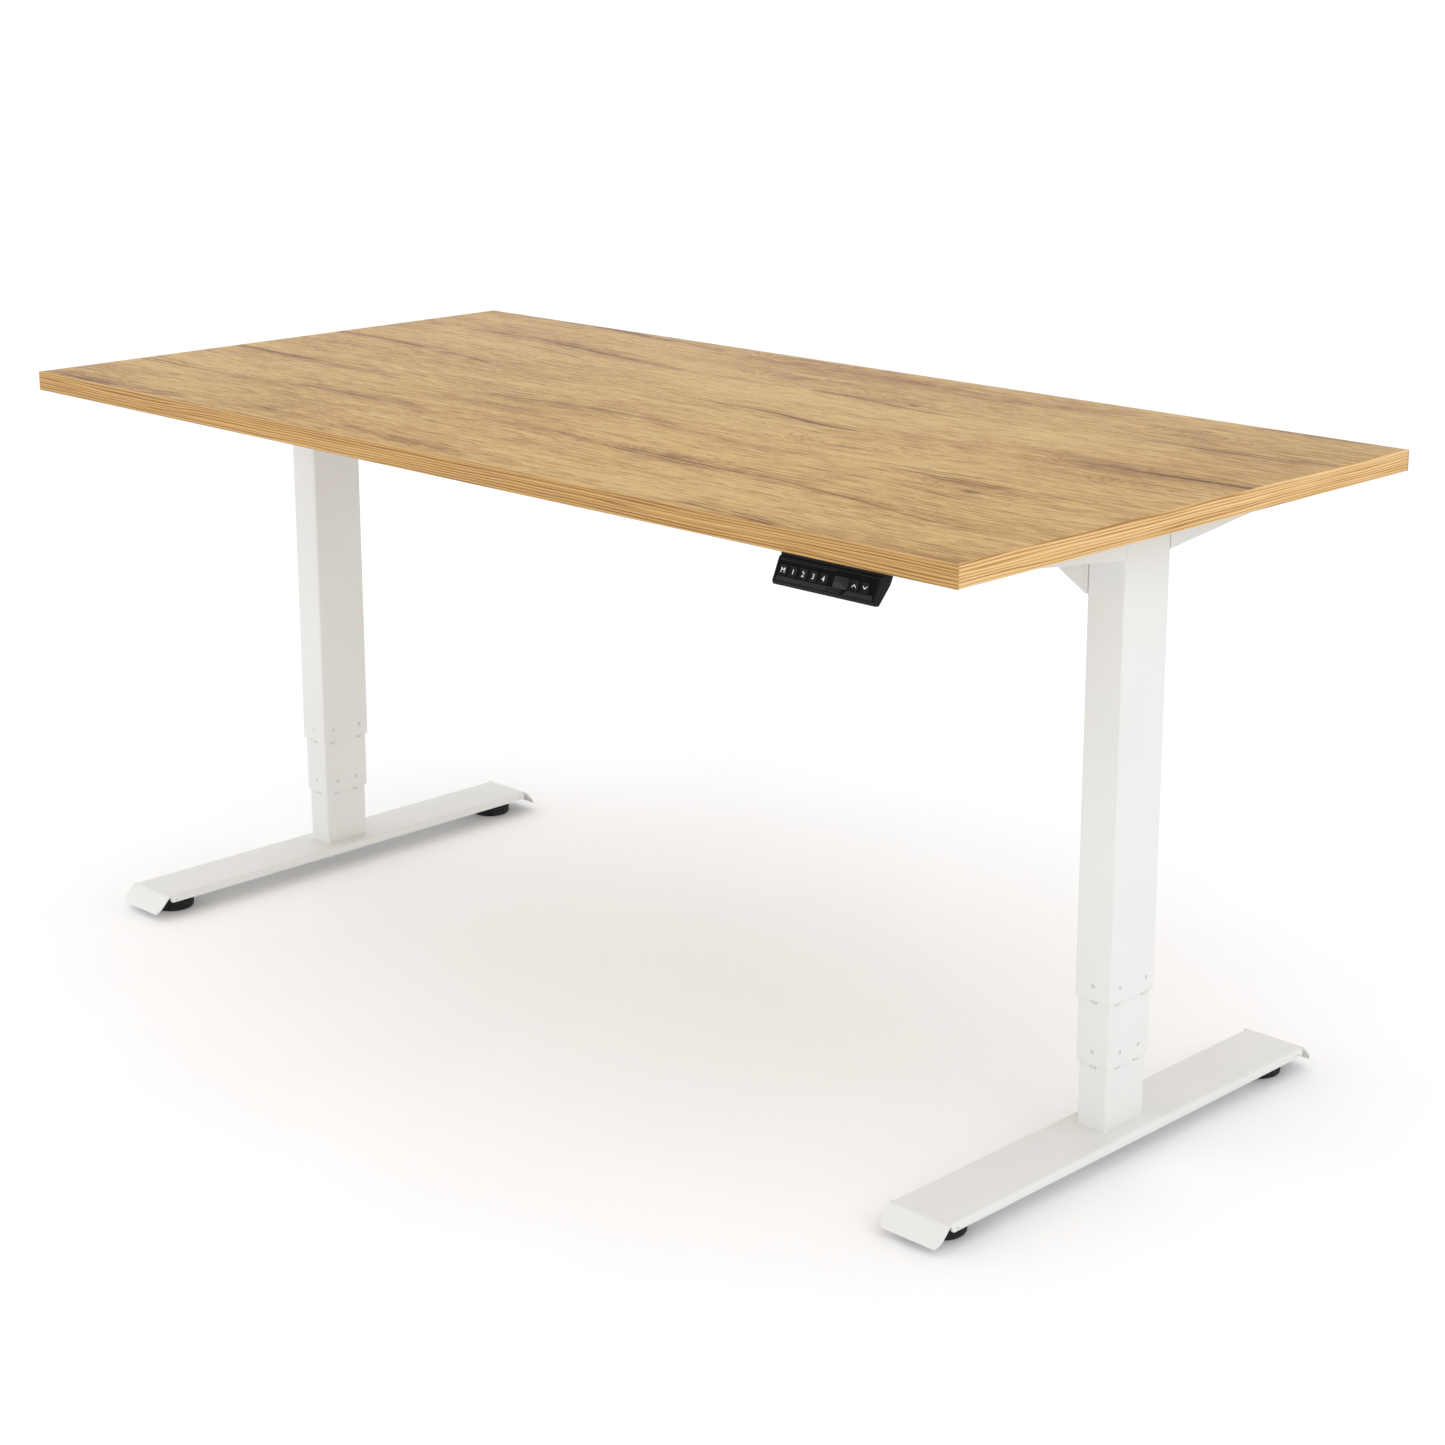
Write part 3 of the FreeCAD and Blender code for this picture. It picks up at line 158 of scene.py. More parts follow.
# ---------------------------------------------------------------- materials
# the oak decor's lamellas and cracks, in metres
SLOW_WANDER, QUICK_WANDER = 0.22, 0.016  # what full noise would add to a seam's place, slowly and quickly
SEAM_SHIFT = 0.27                        # moves all the seams across the board
CRACK_REACH, CRACK_FADE = 0.0027, 0.0010  # from the middle of a crack to its outer edge, and the fading part
HAIR_REACH, HAIR_FADE = 0.0028, 0.0018   # the same for a hair crack
HALO_REACH = 0.036                       # from the middle of a crack to the edge of its shadow


def oak_decor_laminate():
    # Printed oak decor under clear melamine, pressed against a pore-textured plate: satin, with the pores
    # matt and sunk about 0.1 mm. Growth rings are 12 mm apart and fibre bundles 4 mm wide. The pores, really
    # 0.2 mm wide, are drawn 0.5 mm wide to show.
    colours, sizes = bpy.context.scene.desk_colours, bpy.context.scene.desk_sizes
    material, tree, shader = finish("oak_decor_laminate", {"IOR": 1.5, "Specular IOR Level": 0.12})
    add = partial(node, tree)
    at = add("TexCoord", out="Object")
    x = add("SeparateXYZ", [at], out=0)
    y = add("SeparateXYZ", [at], out=1)

    # the seams between lamellas wander by 60 mm over a metre and by 5 mm over a hand's width
    slow = add("TexNoise", {"Vector": add("Mapping", {"Vector": at, "Scale": (1.3, 1.6, 1.0)}), "Scale": 1.0,
                            "Detail": 1.0})
    quick = add("TexNoise", {"Vector": add("Mapping", {"Vector": at, "Scale": (9.0, 9.0, 1.0)}), "Scale": 1.0,
                             "Detail": 3.0})
    bent = add("Math", [slow, SLOW_WANDER, y], operation="MULTIPLY_ADD")
    bent = add("Math", [quick, QUICK_WANDER, bent], operation="MULTIPLY_ADD")
    count = add("Math", [add("Math", [bent, SEAM_SHIFT], operation="ADD"), sizes.lamella_width],
                operation="DIVIDE")
    lamella = add("Math", [count], operation="FLOOR")
    from_seam = add("Math", [count, 0.5], operation="PINGPONG")
    from_seam = add("Math", [from_seam, sizes.lamella_width], operation="MULTIPLY")

    # over half its length a seam opens into a dark crack up to 3.4 mm wide, with edges that fade over 1 mm,
    # in a brown shadow that fades out 36 mm to each side
    seam = add("Math", [count], operation="ROUND")
    life_at = add("CombineXYZ", [add("Math", [x, 1.7], operation="MULTIPLY"), seam, 0.0])
    life = add("TexNoise", {"Vector": life_at, "Scale": 1.0, "Detail": 4.0, "Roughness": 0.62})
    open_here = add("MapRange", {"Value": life, "From Min": 0.44, "From Max": 0.58})
    gap = add("Math", [open_here, CRACK_REACH], operation="MULTIPLY")
    crack = add("Math", [add("Math", [gap, from_seam], operation="SUBTRACT"), CRACK_FADE], operation="DIVIDE",
                use_clamp=True)
    halo = add("MapRange", {"Value": from_seam, "From Min": HALO_REACH, "From Max": 0.0})
    halo = add("Math", [add("Math", [halo, 1.8], operation="POWER"), open_here], operation="MULTIPLY")

    # knots: one in about half the cells of a pattern stretched along the grain
    knot_at = add("CombineXYZ", [add("Math", [x, 2.7], operation="MULTIPLY"),
                                 add("Math", [bent, 6.6], operation="MULTIPLY"), 0.0])
    from_knot = add("TexVoronoi", {"Vector": knot_at, "Scale": 1.0}, voronoi_dimensions="2D")
    draw = add("SeparateColor", [from_knot.node.outputs["Color"]], out=0)
    there = add("Math", [draw, 0.5], operation="GREATER_THAN")
    ragged = add("TexNoise", {"Vector": add("Mapping", {"Vector": at, "Scale": (34.0, 150.0, 1.0)}),
                              "Scale": 1.0, "Detail": 4.0, "Roughness": 0.7})
    ragged = add("Math", [ragged, 0.42, from_knot], operation="MULTIPLY_ADD")
    eye = add("MapRange", {"Value": from_knot, "From Min": 0.34, "From Max": 0.02},
              interpolation_type="SMOOTHSTEP")
    eye = add("Math", [eye, there], operation="MULTIPLY")
    core = add("MapRange", {"Value": ragged, "From Min": 0.245, "From Max": 0.175})
    core = add("Math", [core, there], operation="MULTIPLY")

    # growth rings bow round the knots, and each lamella is cut from another part of the tree
    drift = add("TexNoise", {"Vector": add("Mapping", {"Vector": at, "Scale": (2.2, 12.0, 1.0)}),
                             "Scale": 1.0, "Detail": 4.0, "Roughness": 0.6})
    phase = add("Math", [bent, 1.0 / sizes.ring_pitch], operation="MULTIPLY")
    phase = add("Math", [eye, 5.0, phase], operation="MULTIPLY_ADD")
    phase = add("Math", [lamella, 7.31, phase], operation="MULTIPLY_ADD")
    phase = add("Math", [drift, 7.0, phase], operation="MULTIPLY_ADD")
    rings = add("Math", [add("Math", [phase], operation="FRACT"), 3.0], operation="POWER")

    # fibre bundles 4 mm wide, streaks 12 mm wide and clouds a hand wide
    fibres = add("TexNoise", {"Vector": add("Mapping", {"Vector": at, "Scale": (22.0, 240.0, 9.0)}),
                              "Scale": 1.0, "Detail": 6.0, "Roughness": 0.78})
    streaks = add("TexNoise", {"Vector": add("Mapping", {"Vector": at, "Scale": (4.5, 80.0, 1.0)}),
                               "Scale": 1.0, "Detail": 5.0, "Roughness": 0.68})
    cloud = add("TexNoise", {"Vector": add("Mapping", {"Vector": at, "Scale": (2.0, 7.5, 1.0)}), "Scale": 1.0,
                             "Detail": 4.0, "Roughness": 0.6})

    # hair cracks up to 2 mm wide, with edges that fade over 1.8 mm, gather at seams and knots
    hair = add("Math", [quick, 0.020, add("Math", [slow, 0.26, y], operation="MULTIPLY_ADD")],
               operation="MULTIPLY_ADD")
    hair = add("Math", [drift, 0.012, hair], operation="MULTIPLY_ADD")
    strand = add("Math", [hair, 1.0 / sizes.hair_pitch], operation="MULTIPLY")
    hair_at = add("CombineXYZ", [add("Math", [x, 3.1], operation="MULTIPLY"),
                                 add("Math", [strand], operation="ROUND"), 0.0])
    hair_life = add("TexNoise", {"Vector": hair_at, "Scale": 1.0, "Detail": 4.0, "Roughness": 0.6})
    gathered = add("Math", [halo, 0.22, hair_life], operation="MULTIPLY_ADD")
    gathered = add("Math", [eye, 0.10, gathered], operation="MULTIPLY_ADD")
    hair_open = add("MapRange", {"Value": gathered, "From Min": 0.54, "From Max": 0.66})
    from_hair = add("Math", [add("Math", [strand, 0.5], operation="PINGPONG"), sizes.hair_pitch],
                    operation="MULTIPLY")
    hairs = add("Math", [add("Math", [hair_open, HAIR_REACH], operation="MULTIPLY"), from_hair],
                operation="SUBTRACT")
    hairs = add("Math", [hairs, HAIR_FADE], operation="DIVIDE", use_clamp=True)

    pores = add("TexNoise", {"Vector": add("Mapping", {"Vector": at, "Scale": (95.0, 1500.0, 110.0)}),
                             "Scale": 1.0, "Detail": 2.0})
    pores = add("MapRange", {"Value": pores, "From Min": 0.56, "From Max": 0.70})
    shade = add("TexWhiteNoise", {"W": lamella}, noise_dimensions="1D")

    tone = add("Math", [streaks, 0.95, -1.54], operation="MULTIPLY_ADD")
    for field, weight in ((fibres, 2.3), (cloud, 1.05), (shade, 0.12), (rings, -0.24), (halo, -0.36),
                          (eye, -0.08)):
        tone = add("Math", [field, weight, tone], operation="MULTIPLY_ADD")
    wood = add("ValToRGB", [tone], stops=[(0.16, colours.oak_dark), (0.50, colours.oak_middle),
                                          (0.86, colours.oak_light)])
    dark = crack
    for field, strength in ((core, 0.85), (hairs, 0.72), (pores, 0.30)):
        dark = add("Math", [add("Math", [field, strength], operation="MULTIPLY"), dark], operation="MAXIMUM")
    base = add("Mix", {0: dark, 6: wood, 7: colours.oak_crack}, out=2, data_type="RGBA")
    tree.links.new(base, shader.inputs["Base Color"])
    matt = add("Math", [pores, 0.2, 0.38], operation="MULTIPLY_ADD")
    matt = add("Math", [fibres, 0.12, matt], operation="MULTIPLY_ADD")
    tree.links.new(matt, shader.inputs["Roughness"])
    height = add("Math", [fibres, 0.4, add("Math", [pores, -1.0], operation="MULTIPLY")],
                 operation="MULTIPLY_ADD")
    height = add("Math", [crack, -1.5, height], operation="MULTIPLY_ADD")
    tree.links.new(add("Bump", {"Height": height, "Strength": 0.5, "Distance": 0.0001}),
                   shader.inputs["Normal"])
    return material


def oak_edge_band(name, along, stops):
    # ABS band printed with straight oak grain and embossed lightly: late wood lines 3.3 mm apart, satin.
    material, tree, shader = finish(name, {"IOR": 1.53, "Specular IOR Level": 0.2})
    add = partial(node, tree)
    at = add("TexCoord", out="Object")
    line, fine, wave = [26.0, 26.0, 300.0], [220.0, 220.0, 1400.0], [7.0, 7.0, 40.0]
    line[along], fine[along], wave[along] = 1.8, 13.0, 2.8
    grain = add("TexNoise", {"Vector": add("Mapping", {"Vector": at, "Scale": line}), "Scale": 1.0,
                             "Detail": 3.0})
    fibres = add("TexNoise", {"Vector": add("Mapping", {"Vector": at, "Scale": fine}), "Scale": 1.0,
                              "Detail": 3.0})
    drift = add("TexNoise", {"Vector": add("Mapping", {"Vector": at, "Scale": wave}), "Scale": 1.0,
                             "Detail": 2.0})
    z = add("SeparateXYZ", [at], out=2)
    phase = add("Math", [z, 300.0, add("Math", [drift, 3.4], operation="MULTIPLY")], operation="MULTIPLY_ADD")
    phase = add("Math", [grain, 1.6, phase], operation="MULTIPLY_ADD")
    rings = add("Math", [phase, 0.5], operation="PINGPONG")
    tone = add("Math", [rings, 1.25, -0.24], operation="MULTIPLY_ADD")
    for field, weight in ((grain, 0.55), (fibres, 0.50)):
        tone = add("Math", [field, weight, tone], operation="MULTIPLY_ADD")
    # the stops passed in hold painted light and shade: the short bands get lighter colours than the long bands,
    # though both are the same band
    base = add("ValToRGB", [tone], stops=[(place, linear(colour)) for place, colour in stops])
    tree.links.new(base, shader.inputs["Base Color"])
    tree.links.new(add("Math", [fibres, 0.2, 0.34], operation="MULTIPLY_ADD"), shader.inputs["Roughness"])
    tree.links.new(add("Bump", {"Height": fibres, "Strength": 0.4, "Distance": 0.0001}),
                   shader.inputs["Normal"])
    return material


def white_powder_coat():
    # Polyester powder baked on steel: satin, with an orange peel about 2.5 mm across and fine grit.
    white = bpy.context.scene.desk_colours.powder_white
    material, tree, shader = finish("white_powder_coat", {"IOR": 1.5, "Specular IOR Level": 0.42})
    add = partial(node, tree)
    at = add("TexCoord", out="Object")
    peel = add("TexNoise", {"Vector": at, "Scale": 400.0, "Detail": 1.0})
    grit = add("TexNoise", {"Vector": at, "Scale": 1500.0, "Detail": 2.0})
    cloud = add("TexNoise", {"Vector": at, "Scale": 6.0, "Detail": 2.0})
    thin = tuple(c * 0.965 for c in white[:3]) + (1.0,)
    tree.links.new(add("ValToRGB", [cloud], stops=[(0.3, thin), (0.7, white)]), shader.inputs["Base Color"])
    tree.links.new(add("Math", [grit, 0.12, 0.42], operation="MULTIPLY_ADD"), shader.inputs["Roughness"])
    height = add("Math", [grit, 0.35, peel], operation="MULTIPLY_ADD")
    tree.links.new(add("Bump", {"Height": height, "Strength": 0.35, "Distance": 0.00008}),
                   shader.inputs["Normal"])
    return material


def etched_plastic(name, base, worn, roughness, grain_size, depth, shine=0.45):
    # Plastic or rubber from a spark-etched tool: fine even grain that scatters the light, paler scuffs.
    material, tree, shader = finish(name, {"IOR": 1.53, "Specular IOR Level": shine})
    add = partial(node, tree)
    at = add("TexCoord", out="Object")
    grain = add("TexNoise", {"Vector": at, "Scale": 1.0 / grain_size, "Detail": 2.0, "Roughness": 0.6})
    scuffs = add("TexNoise", {"Vector": at, "Scale": 60.0, "Detail": 4.0, "Roughness": 0.7})
    tone = add("Math", [grain, 0.3, add("Math", [scuffs, 0.7], operation="MULTIPLY")],
               operation="MULTIPLY_ADD")
    tree.links.new(add("ValToRGB", [tone], stops=[(0.40, base), (0.85, worn)]), shader.inputs["Base Color"])
    tree.links.new(add("Math", [grain, 0.14, roughness - 0.07], operation="MULTIPLY_ADD"),
                   shader.inputs["Roughness"])
    tree.links.new(add("Bump", {"Height": grain, "Strength": 0.5, "Distance": depth}),
                   shader.inputs["Normal"])
    return material


def polished_plastic(name, base, haze, roughness, shine):
    # Polished acrylic and lacquered key caps: close to a mirror, dulled a little by wiped smears.
    material, tree, shader = finish(name, {"IOR": 1.49, "Specular IOR Level": shine})
    add = partial(node, tree)
    at = add("TexCoord", out="Object")
    smear = add("TexNoise", {"Vector": add("Mapping", {"Vector": at, "Scale": (90.0, 40.0, 90.0)}),
                             "Scale": 1.0, "Detail": 3.0, "Roughness": 0.6})
    tree.links.new(add("ValToRGB", [smear], stops=[(0.4, linear(base)), (0.8, linear(haze))]),
                   shader.inputs["Base Color"])
    tree.links.new(add("Math", [smear, 0.12, roughness - 0.04], operation="MULTIPLY_ADD"),
                   shader.inputs["Roughness"])
    tree.links.new(add("Bump", {"Height": smear, "Strength": 0.1, "Distance": 0.00005}),
                   shader.inputs["Normal"])
    return material


def worked_metal(name, base, dark, roughness, line_scale):
    # Bare, plated or cast metal: tool marks or casting skin as fine lines, and cloudy patches of tarnish.
    material, tree, shader = finish(name, {"Metallic": 1.0})
    add = partial(node, tree)
    at = add("TexCoord", out="Object")
    marks = add("TexNoise", {"Vector": add("Mapping", {"Vector": at, "Scale": line_scale}), "Scale": 1.0,
                             "Detail": 3.0, "Roughness": 0.6})
    cloud = add("TexNoise", {"Vector": at, "Scale": 45.0, "Detail": 3.0, "Roughness": 0.6})
    tone = add("Math", [marks, 0.4, add("Math", [cloud, 0.6], operation="MULTIPLY")],
               operation="MULTIPLY_ADD")
    tree.links.new(add("ValToRGB", [tone], stops=[(0.35, linear(dark)), (0.70, linear(base))]),
                   shader.inputs["Base Color"])
    tree.links.new(add("Math", [marks, 0.2, roughness - 0.1], operation="MULTIPLY_ADD"),
                   shader.inputs["Roughness"])
    tree.links.new(add("Bump", {"Height": marks, "Strength": 0.3, "Distance": 0.00004}),
                   shader.inputs["Normal"])
    return material


def screen_print():
    # White screen-printed ink: matt and opaque, with pinholes about 0.4 mm across where the film is thin.
    material, tree, shader = finish("white_screen_print", {"Roughness": 0.55, "IOR": 1.5})
    film = node(tree, "TexNoise", {"Vector": node(tree, "TexCoord", out="Object"), "Scale": 1500.0,
                                   "Detail": 2.0})
    tree.links.new(node(tree, "ValToRGB", [film], stops=[(0.3, linear("D2D2D0")), (0.6, linear("F4F4F2"))]),
                   shader.inputs["Base Color"])
    return material


FINISHES = {}


def make_finishes():
    """Makes every finish of the desk once, under a short name."""
    black = bpy.context.scene.desk_colours.handset_black
    FINISHES.update({
        "oak": oak_decor_laminate(),
        # painted light and shade: the long bands on the front and back get darker colours and the short bands on
        # the sides lighter ones, though they are one band, shaded in front and lit at the side
        "long_band": oak_edge_band("oak_edge_band_long_painted_shade", 0,
                                   [(0.25, "80592C"), (0.5, "AD8248"), (0.85, "C9A266")]),
        "short_band": oak_edge_band("oak_edge_band_short_painted_light", 1,
                                    [(0.25, "996A36"), (0.5, "CB9F60"), (0.85, "E3C08A")]),
        "coat": white_powder_coat(),
        "housing": etched_plastic("black_abs", black, linear("151516"), 0.42, 0.00035, 0.00003, 0.12),
        "strip": etched_plastic("black_abs_coarse", linear("141415"), linear("262627"), 0.60, 0.0003, 0.00004,
                                0.22),
        "panel": polished_plastic("black_acrylic", "030304", "08080A", 0.10, 0.06),
        "key": polished_plastic("black_lacquered_abs", "060607", "0F0F11", 0.20, 0.12),
        "window": polished_plastic("smoked_acrylic", "020203", "060607", 0.05, 0.3),
        "print": screen_print(),
        "display": etched_plastic("display_block", linear("2A1210"), linear("3A1E1A"), 0.5, 0.0004, 0.00003),
        "board": etched_plastic("green_solder_mask", linear("0F5A2C"), linear("1C7A40"), 0.4, 0.0005,
                                0.00002),
        "glide": etched_plastic("black_polyamide", linear("0F0F10"), linear("232324"), 0.55, 0.0005, 0.00006,
                                0.3),
        "acetal": etched_plastic("natural_acetal", linear("CDCDC9"), linear("DBDBD6"), 0.45, 0.0006, 0.00003,
                                 0.35),
        "rubber": etched_plastic("black_rubber", linear("161616"), linear("343434"), 0.85, 0.0004, 0.00006),
        "box": etched_plastic("black_abs_box", linear("161617"), linear("303032"), 0.55, 0.0006, 0.00008),
        "socket": etched_plastic("grey_nylon", linear("9A9A96"), linear("B0B0AC"), 0.5, 0.0005, 0.00003),
        "lacquer": etched_plastic("black_stoved_lacquer", linear("19191A"), linear("303032"), 0.34, 0.0012,
                                  0.00003),
        "zinc": worked_metal("zinc_plated_steel", "C9CCCE", "9DA0A3", 0.36, (500.0, 500.0, 60.0)),
        "raw": worked_metal("bare_mild_steel", "8F9092", "6E6F71", 0.46, (400.0, 40.0, 400.0)),
        "turned": worked_metal("turned_steel", "A2A3A4", "7D7E80", 0.36, (60.0, 60.0, 900.0)),
        "lead_screw": worked_metal("greased_screw_steel", "B5B6B7", "8C8D8E", 0.26, (60.0, 60.0, 500.0)),
        "casting": worked_metal("die_cast_aluminium", "B8BABC", "9A9C9E", 0.52, (300.0, 300.0, 300.0)),
    })


# ---------------------------------------------------------------- mesh helpers
def build(name, vertices, faces, material, body, slot_name, replaces=(), smooth_angle=30.0):
    """Mesh object in the desk's frame, riding on a CAD body and standing for the CAD nodes it replaces."""
    mesh = bpy.data.meshes.new(name)
    mesh.from_pydata(np.asarray(vertices, float).tolist(), [], faces)
    mesh.materials.append(material)
    piece = bpy.data.objects.new(name, mesh)
    bpy.context.scene.collection.objects.link(piece)
    mesh.validate()
    point_outwards(mesh)
    soften(piece, smooth_angle)
    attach(piece, body)
    if replaces:
        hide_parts(*replaces)
    return piece


def point_outwards(mesh):
    """Flip every face when the mesh's signed volume, a sum of triple products, is negative."""
    mesh.calc_loop_triangles()
    corners = np.zeros(len(mesh.loop_triangles) * 3, np.int32)
    mesh.loop_triangles.foreach_get("vertices", corners)
    points = np.zeros(len(mesh.vertices) * 3)
    mesh.vertices.foreach_get("co", points)
    a, b, c = points.reshape(-1, 3)[corners.reshape(-1, 3)].transpose(1, 0, 2)
    if np.einsum("ij,ij->i", a, np.cross(b, c)).sum() < 0:
        mesh.flip_normals()


def soften(piece, angle):
    """Smooth shading with edges sharper than the angle, in degrees, kept crisp."""
    mesh = piece.data
    mesh.polygons.foreach_set("use_smooth", np.ones(len(mesh.polygons), bool))
    mesh.set_sharp_from_angle(angle=math.radians(angle))


def grid_faces(rows, columns):
    """Quads of a grid of points, closed round its columns: point (i, j) has number i * columns + j."""
    i, j = np.meshgrid(np.arange(rows - 1), np.arange(columns), indexing="ij")
    j2 = (j + 1) % columns
    quads = np.stack([i * columns + j, i * columns + j2, (i + 1) * columns + j2, (i + 1) * columns + j], -1)
    return quads.reshape(-1, 4).tolist()


def loft(sections):
    """Closed solid through closed sections of equal point count: quads between them, caps at the ends."""
    sections = np.asarray(sections, float)
    rows, columns = sections.shape[:2]
    faces = grid_faces(rows, columns)
    faces.append(list(range(columns))[::-1])
    faces.append([(rows - 1) * columns + k for k in range(columns)])
    return sections.reshape(-1, 3), faces


def merge(parts):
    """Join (vertices, faces) parts into one."""
    vertices, faces, start = [], [], 0
    for v, f in parts:
        vertices.append(np.asarray(v, float))
        faces += [[k + start for k in face] for face in f]
        start += len(v)
    return np.concatenate(vertices), faces


def rounded_rectangle(width, depth, radius, steps):
    """Outline of a rectangle with quarter-circle corners: corner centre plus radius times (cos, sin)."""
    radius = min(radius, width / 2 - 1e-6, depth / 2 - 1e-6)
    angle = np.linspace(0, math.pi / 2, steps + 1)
    outline = []
    for quarter, (sx, sy) in enumerate(((1, 1), (-1, 1), (-1, -1), (1, -1))):
        turn = angle + quarter * math.pi / 2
        outline.append(np.stack([sx * (width / 2 - radius) + radius * np.cos(turn),
                                 sy * (depth / 2 - radius) + radius * np.sin(turn)], -1))
    return np.concatenate(outline)


def edge_profile(height, radius):
    """(inset, level) pairs from the bottom to the top of a block whose rims are quarter circles."""
    t = np.linspace(0, math.pi / 2, RIM_STEPS + 1)
    low = np.stack([radius * (1 - np.sin(t)), radius * (1 - np.cos(t))], -1)
    high = np.stack([radius * (1 - np.cos(t)), height - radius + radius * np.sin(t)], -1)
    return np.concatenate([low, high])


def rounded_block(low, high, corner, rim, steps):
    """Block between two corners: rounded outline in XY, rims rounded by shrinking the outline."""
    low, high = np.asarray(low, float), np.asarray(high, float)
    size, middle = high - low, (high + low) / 2
    rows = []
    for inset, level in edge_profile(size[2], rim):
        outline = rounded_rectangle(size[0] - 2 * inset, size[1] - 2 * inset,
                                    max(corner - inset, LEAST_CORNER), steps)
        rows.append(np.column_stack([outline + middle[:2], np.full(len(outline), low[2] + level)]))
    return loft(rows)


def revolved(profile, centre, count, ripple):
    """Solid turned about +Z: (radius, level) rows round the centre, their radius changed by ripple."""
    angle = np.linspace(0, 2 * math.pi, count, endpoint=False)
    rows = []
    for radius, level in profile:
        r = radius + ripple(angle, radius, level)
        rows.append(np.stack([centre[0] + r * np.cos(angle), centre[1] + r * np.sin(angle),
                              np.full(count, centre[2] + level)], -1))
    return loft(rows)


def refined_copy(node, material, name, bevel):
    """Copy of a CAD node with its triangles merged, flat faces joined and cut edges slightly rounded."""
    source = frame["nodes"][node]
    mesh = source.data.copy()
    mesh.name = name
    piece = bpy.data.objects.new(name, mesh)
    bpy.context.scene.collection.objects.link(piece)
    mesh.materials.clear()
    mesh.materials.append(material)
    weld_mesh(mesh)
    if bevel:
        rounding = piece.modifiers.new("rounding", "BEVEL")
        rounding.width = bevel
        rounding.segments = 2
        rounding.limit_method = "ANGLE"
        rounding.angle_limit = math.radians(BEVEL_FROM)
        rounding.use_clamp_overlap = True
    soften(piece, COPY_SMOOTH)
    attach(piece, frame_body(node))
    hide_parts(node)
    return piece


def weld_mesh(mesh):
    """Merge the loose corners of a copied CAD mesh and dissolve the edges inside its flat faces."""
    work = bmesh.new()
    work.from_mesh(mesh)
    bmesh.ops.remove_doubles(work, verts=work.verts, dist=WELD_REACH)
    bmesh.ops.dissolve_limit(work, angle_limit=math.radians(FLAT_WITHIN), verts=work.verts, edges=work.edges)
    work.to_mesh(mesh)
    work.free()


def frame_body(node):
    """CAD body that a node belongs to."""
    for body, nodes in frame["record"]["behaviour"]["bodies"].items():
        if node in nodes:
            return body
    raise KeyError(node)


def dress(node, material):
    """Give a CAD node that stays as it is a detailed finish."""
    mesh = frame["nodes"][node].data
    mesh.materials.clear()
    mesh.materials.append(material)


# ---------------------------------------------------------------- operators: desk top
class DESK_OT_top(bpy.types.Operator):
    """Board and edge bands of the desk top"""
    bl_idname = "desk.top"
    bl_label = "Desk top"

    def execute(self, context):
        arris = context.scene.desk_sizes.arris
        low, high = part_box("desktop_board")
        outer_low, outer_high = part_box("edge_bands_long")
        board = rounded_block(low, high, *BOARD_EDGE, 2)
        build("desktop_board_surface", *board, FINISHES["oak"], "top", "oak_decor", ["desktop_board"])
        band = low.x - outer_low.x
        long_bands = [edge_band(outer_low.x, outer_high.x, outer_low.y, band, (low.z, high.z), arris, 0),
                      edge_band(outer_low.x, outer_high.x, outer_high.y, -band, (low.z, high.z), arris, 0)]
        # the long bands' finish has painted shade: darker colours than the short bands' finish
        build("edge_band_long_surface", *merge(long_bands), FINISHES["long_band"], "top", "oak_edging",
              ["edge_bands_long"])
        short_bands = [edge_band(low.y, high.y, outer_low.x, band, (low.z, high.z), arris, 1),
                       edge_band(low.y, high.y, outer_high.x, -band, (low.z, high.z), arris, 1)]
        # the short bands' finish has painted light: lighter colours than the long bands' finish
        build("edge_band_short_surface", *merge(short_bands), FINISHES["short_band"], "top", "oak_edging",
              ["edge_bands_short"])
        return {"FINISHED"}


def edge_band(start, end, outer, thickness, levels, arris, axis):
    """Band along X (axis 0) or Y (axis 1): a rectangle in section, with quarter circles as outer arrises."""
    t = np.linspace(0, math.pi / 2, 5)
    sign = 1 if thickness > 0 else -1
    across = np.concatenate([[thickness], sign * arris * (1 - np.sin(t)), sign * arris * (1 - np.cos(t)),
                             [thickness]])
    level = np.concatenate([[levels[0]], levels[0] + arris * (1 - np.cos(t)),
                            levels[1] - arris * (1 - np.sin(t)),
                            [levels[1]]])
    rows = []
    for along in (start, end):
        u = np.full(len(across), along)
        v = outer + across
        rows.append(np.stack([u, v, level] if axis == 0 else [v, u, level], -1))
    return loft(rows)


# ---------------------------------------------------------------- operators: columns
class DESK_OT_columns(bpy.types.Operator):
    """Three telescopic tubes of each column"""
    bl_idname = "desk.columns"
    bl_label = "Columns"

    def execute(self, context):
        rounding = context.scene.desk_sizes.coat_round
        for side in SIDES:
            for stage in ("outer", "middle", "inner"):
                tube = "%s_tube_%s" % (stage, side)
                refined_copy(tube, FINISHES["coat"], tube + "_surface", rounding / 2)
        return {"FINISHED"}


# ---------------------------------------------------------------- operators: feet and glides
class DESK_OT_feet(bpy.types.Operator):
    """Folded sheet feet with their sloping end flaps"""
    bl_idname = "desk.feet"
    bl_label = "Feet"

    def execute(self, context):
        for side in SIDES:
            refined_copy("foot_" + side, FINISHES["coat"], "foot_%s_surface" % side, BLUNT_EDGE)
        return {"FINISHED"}


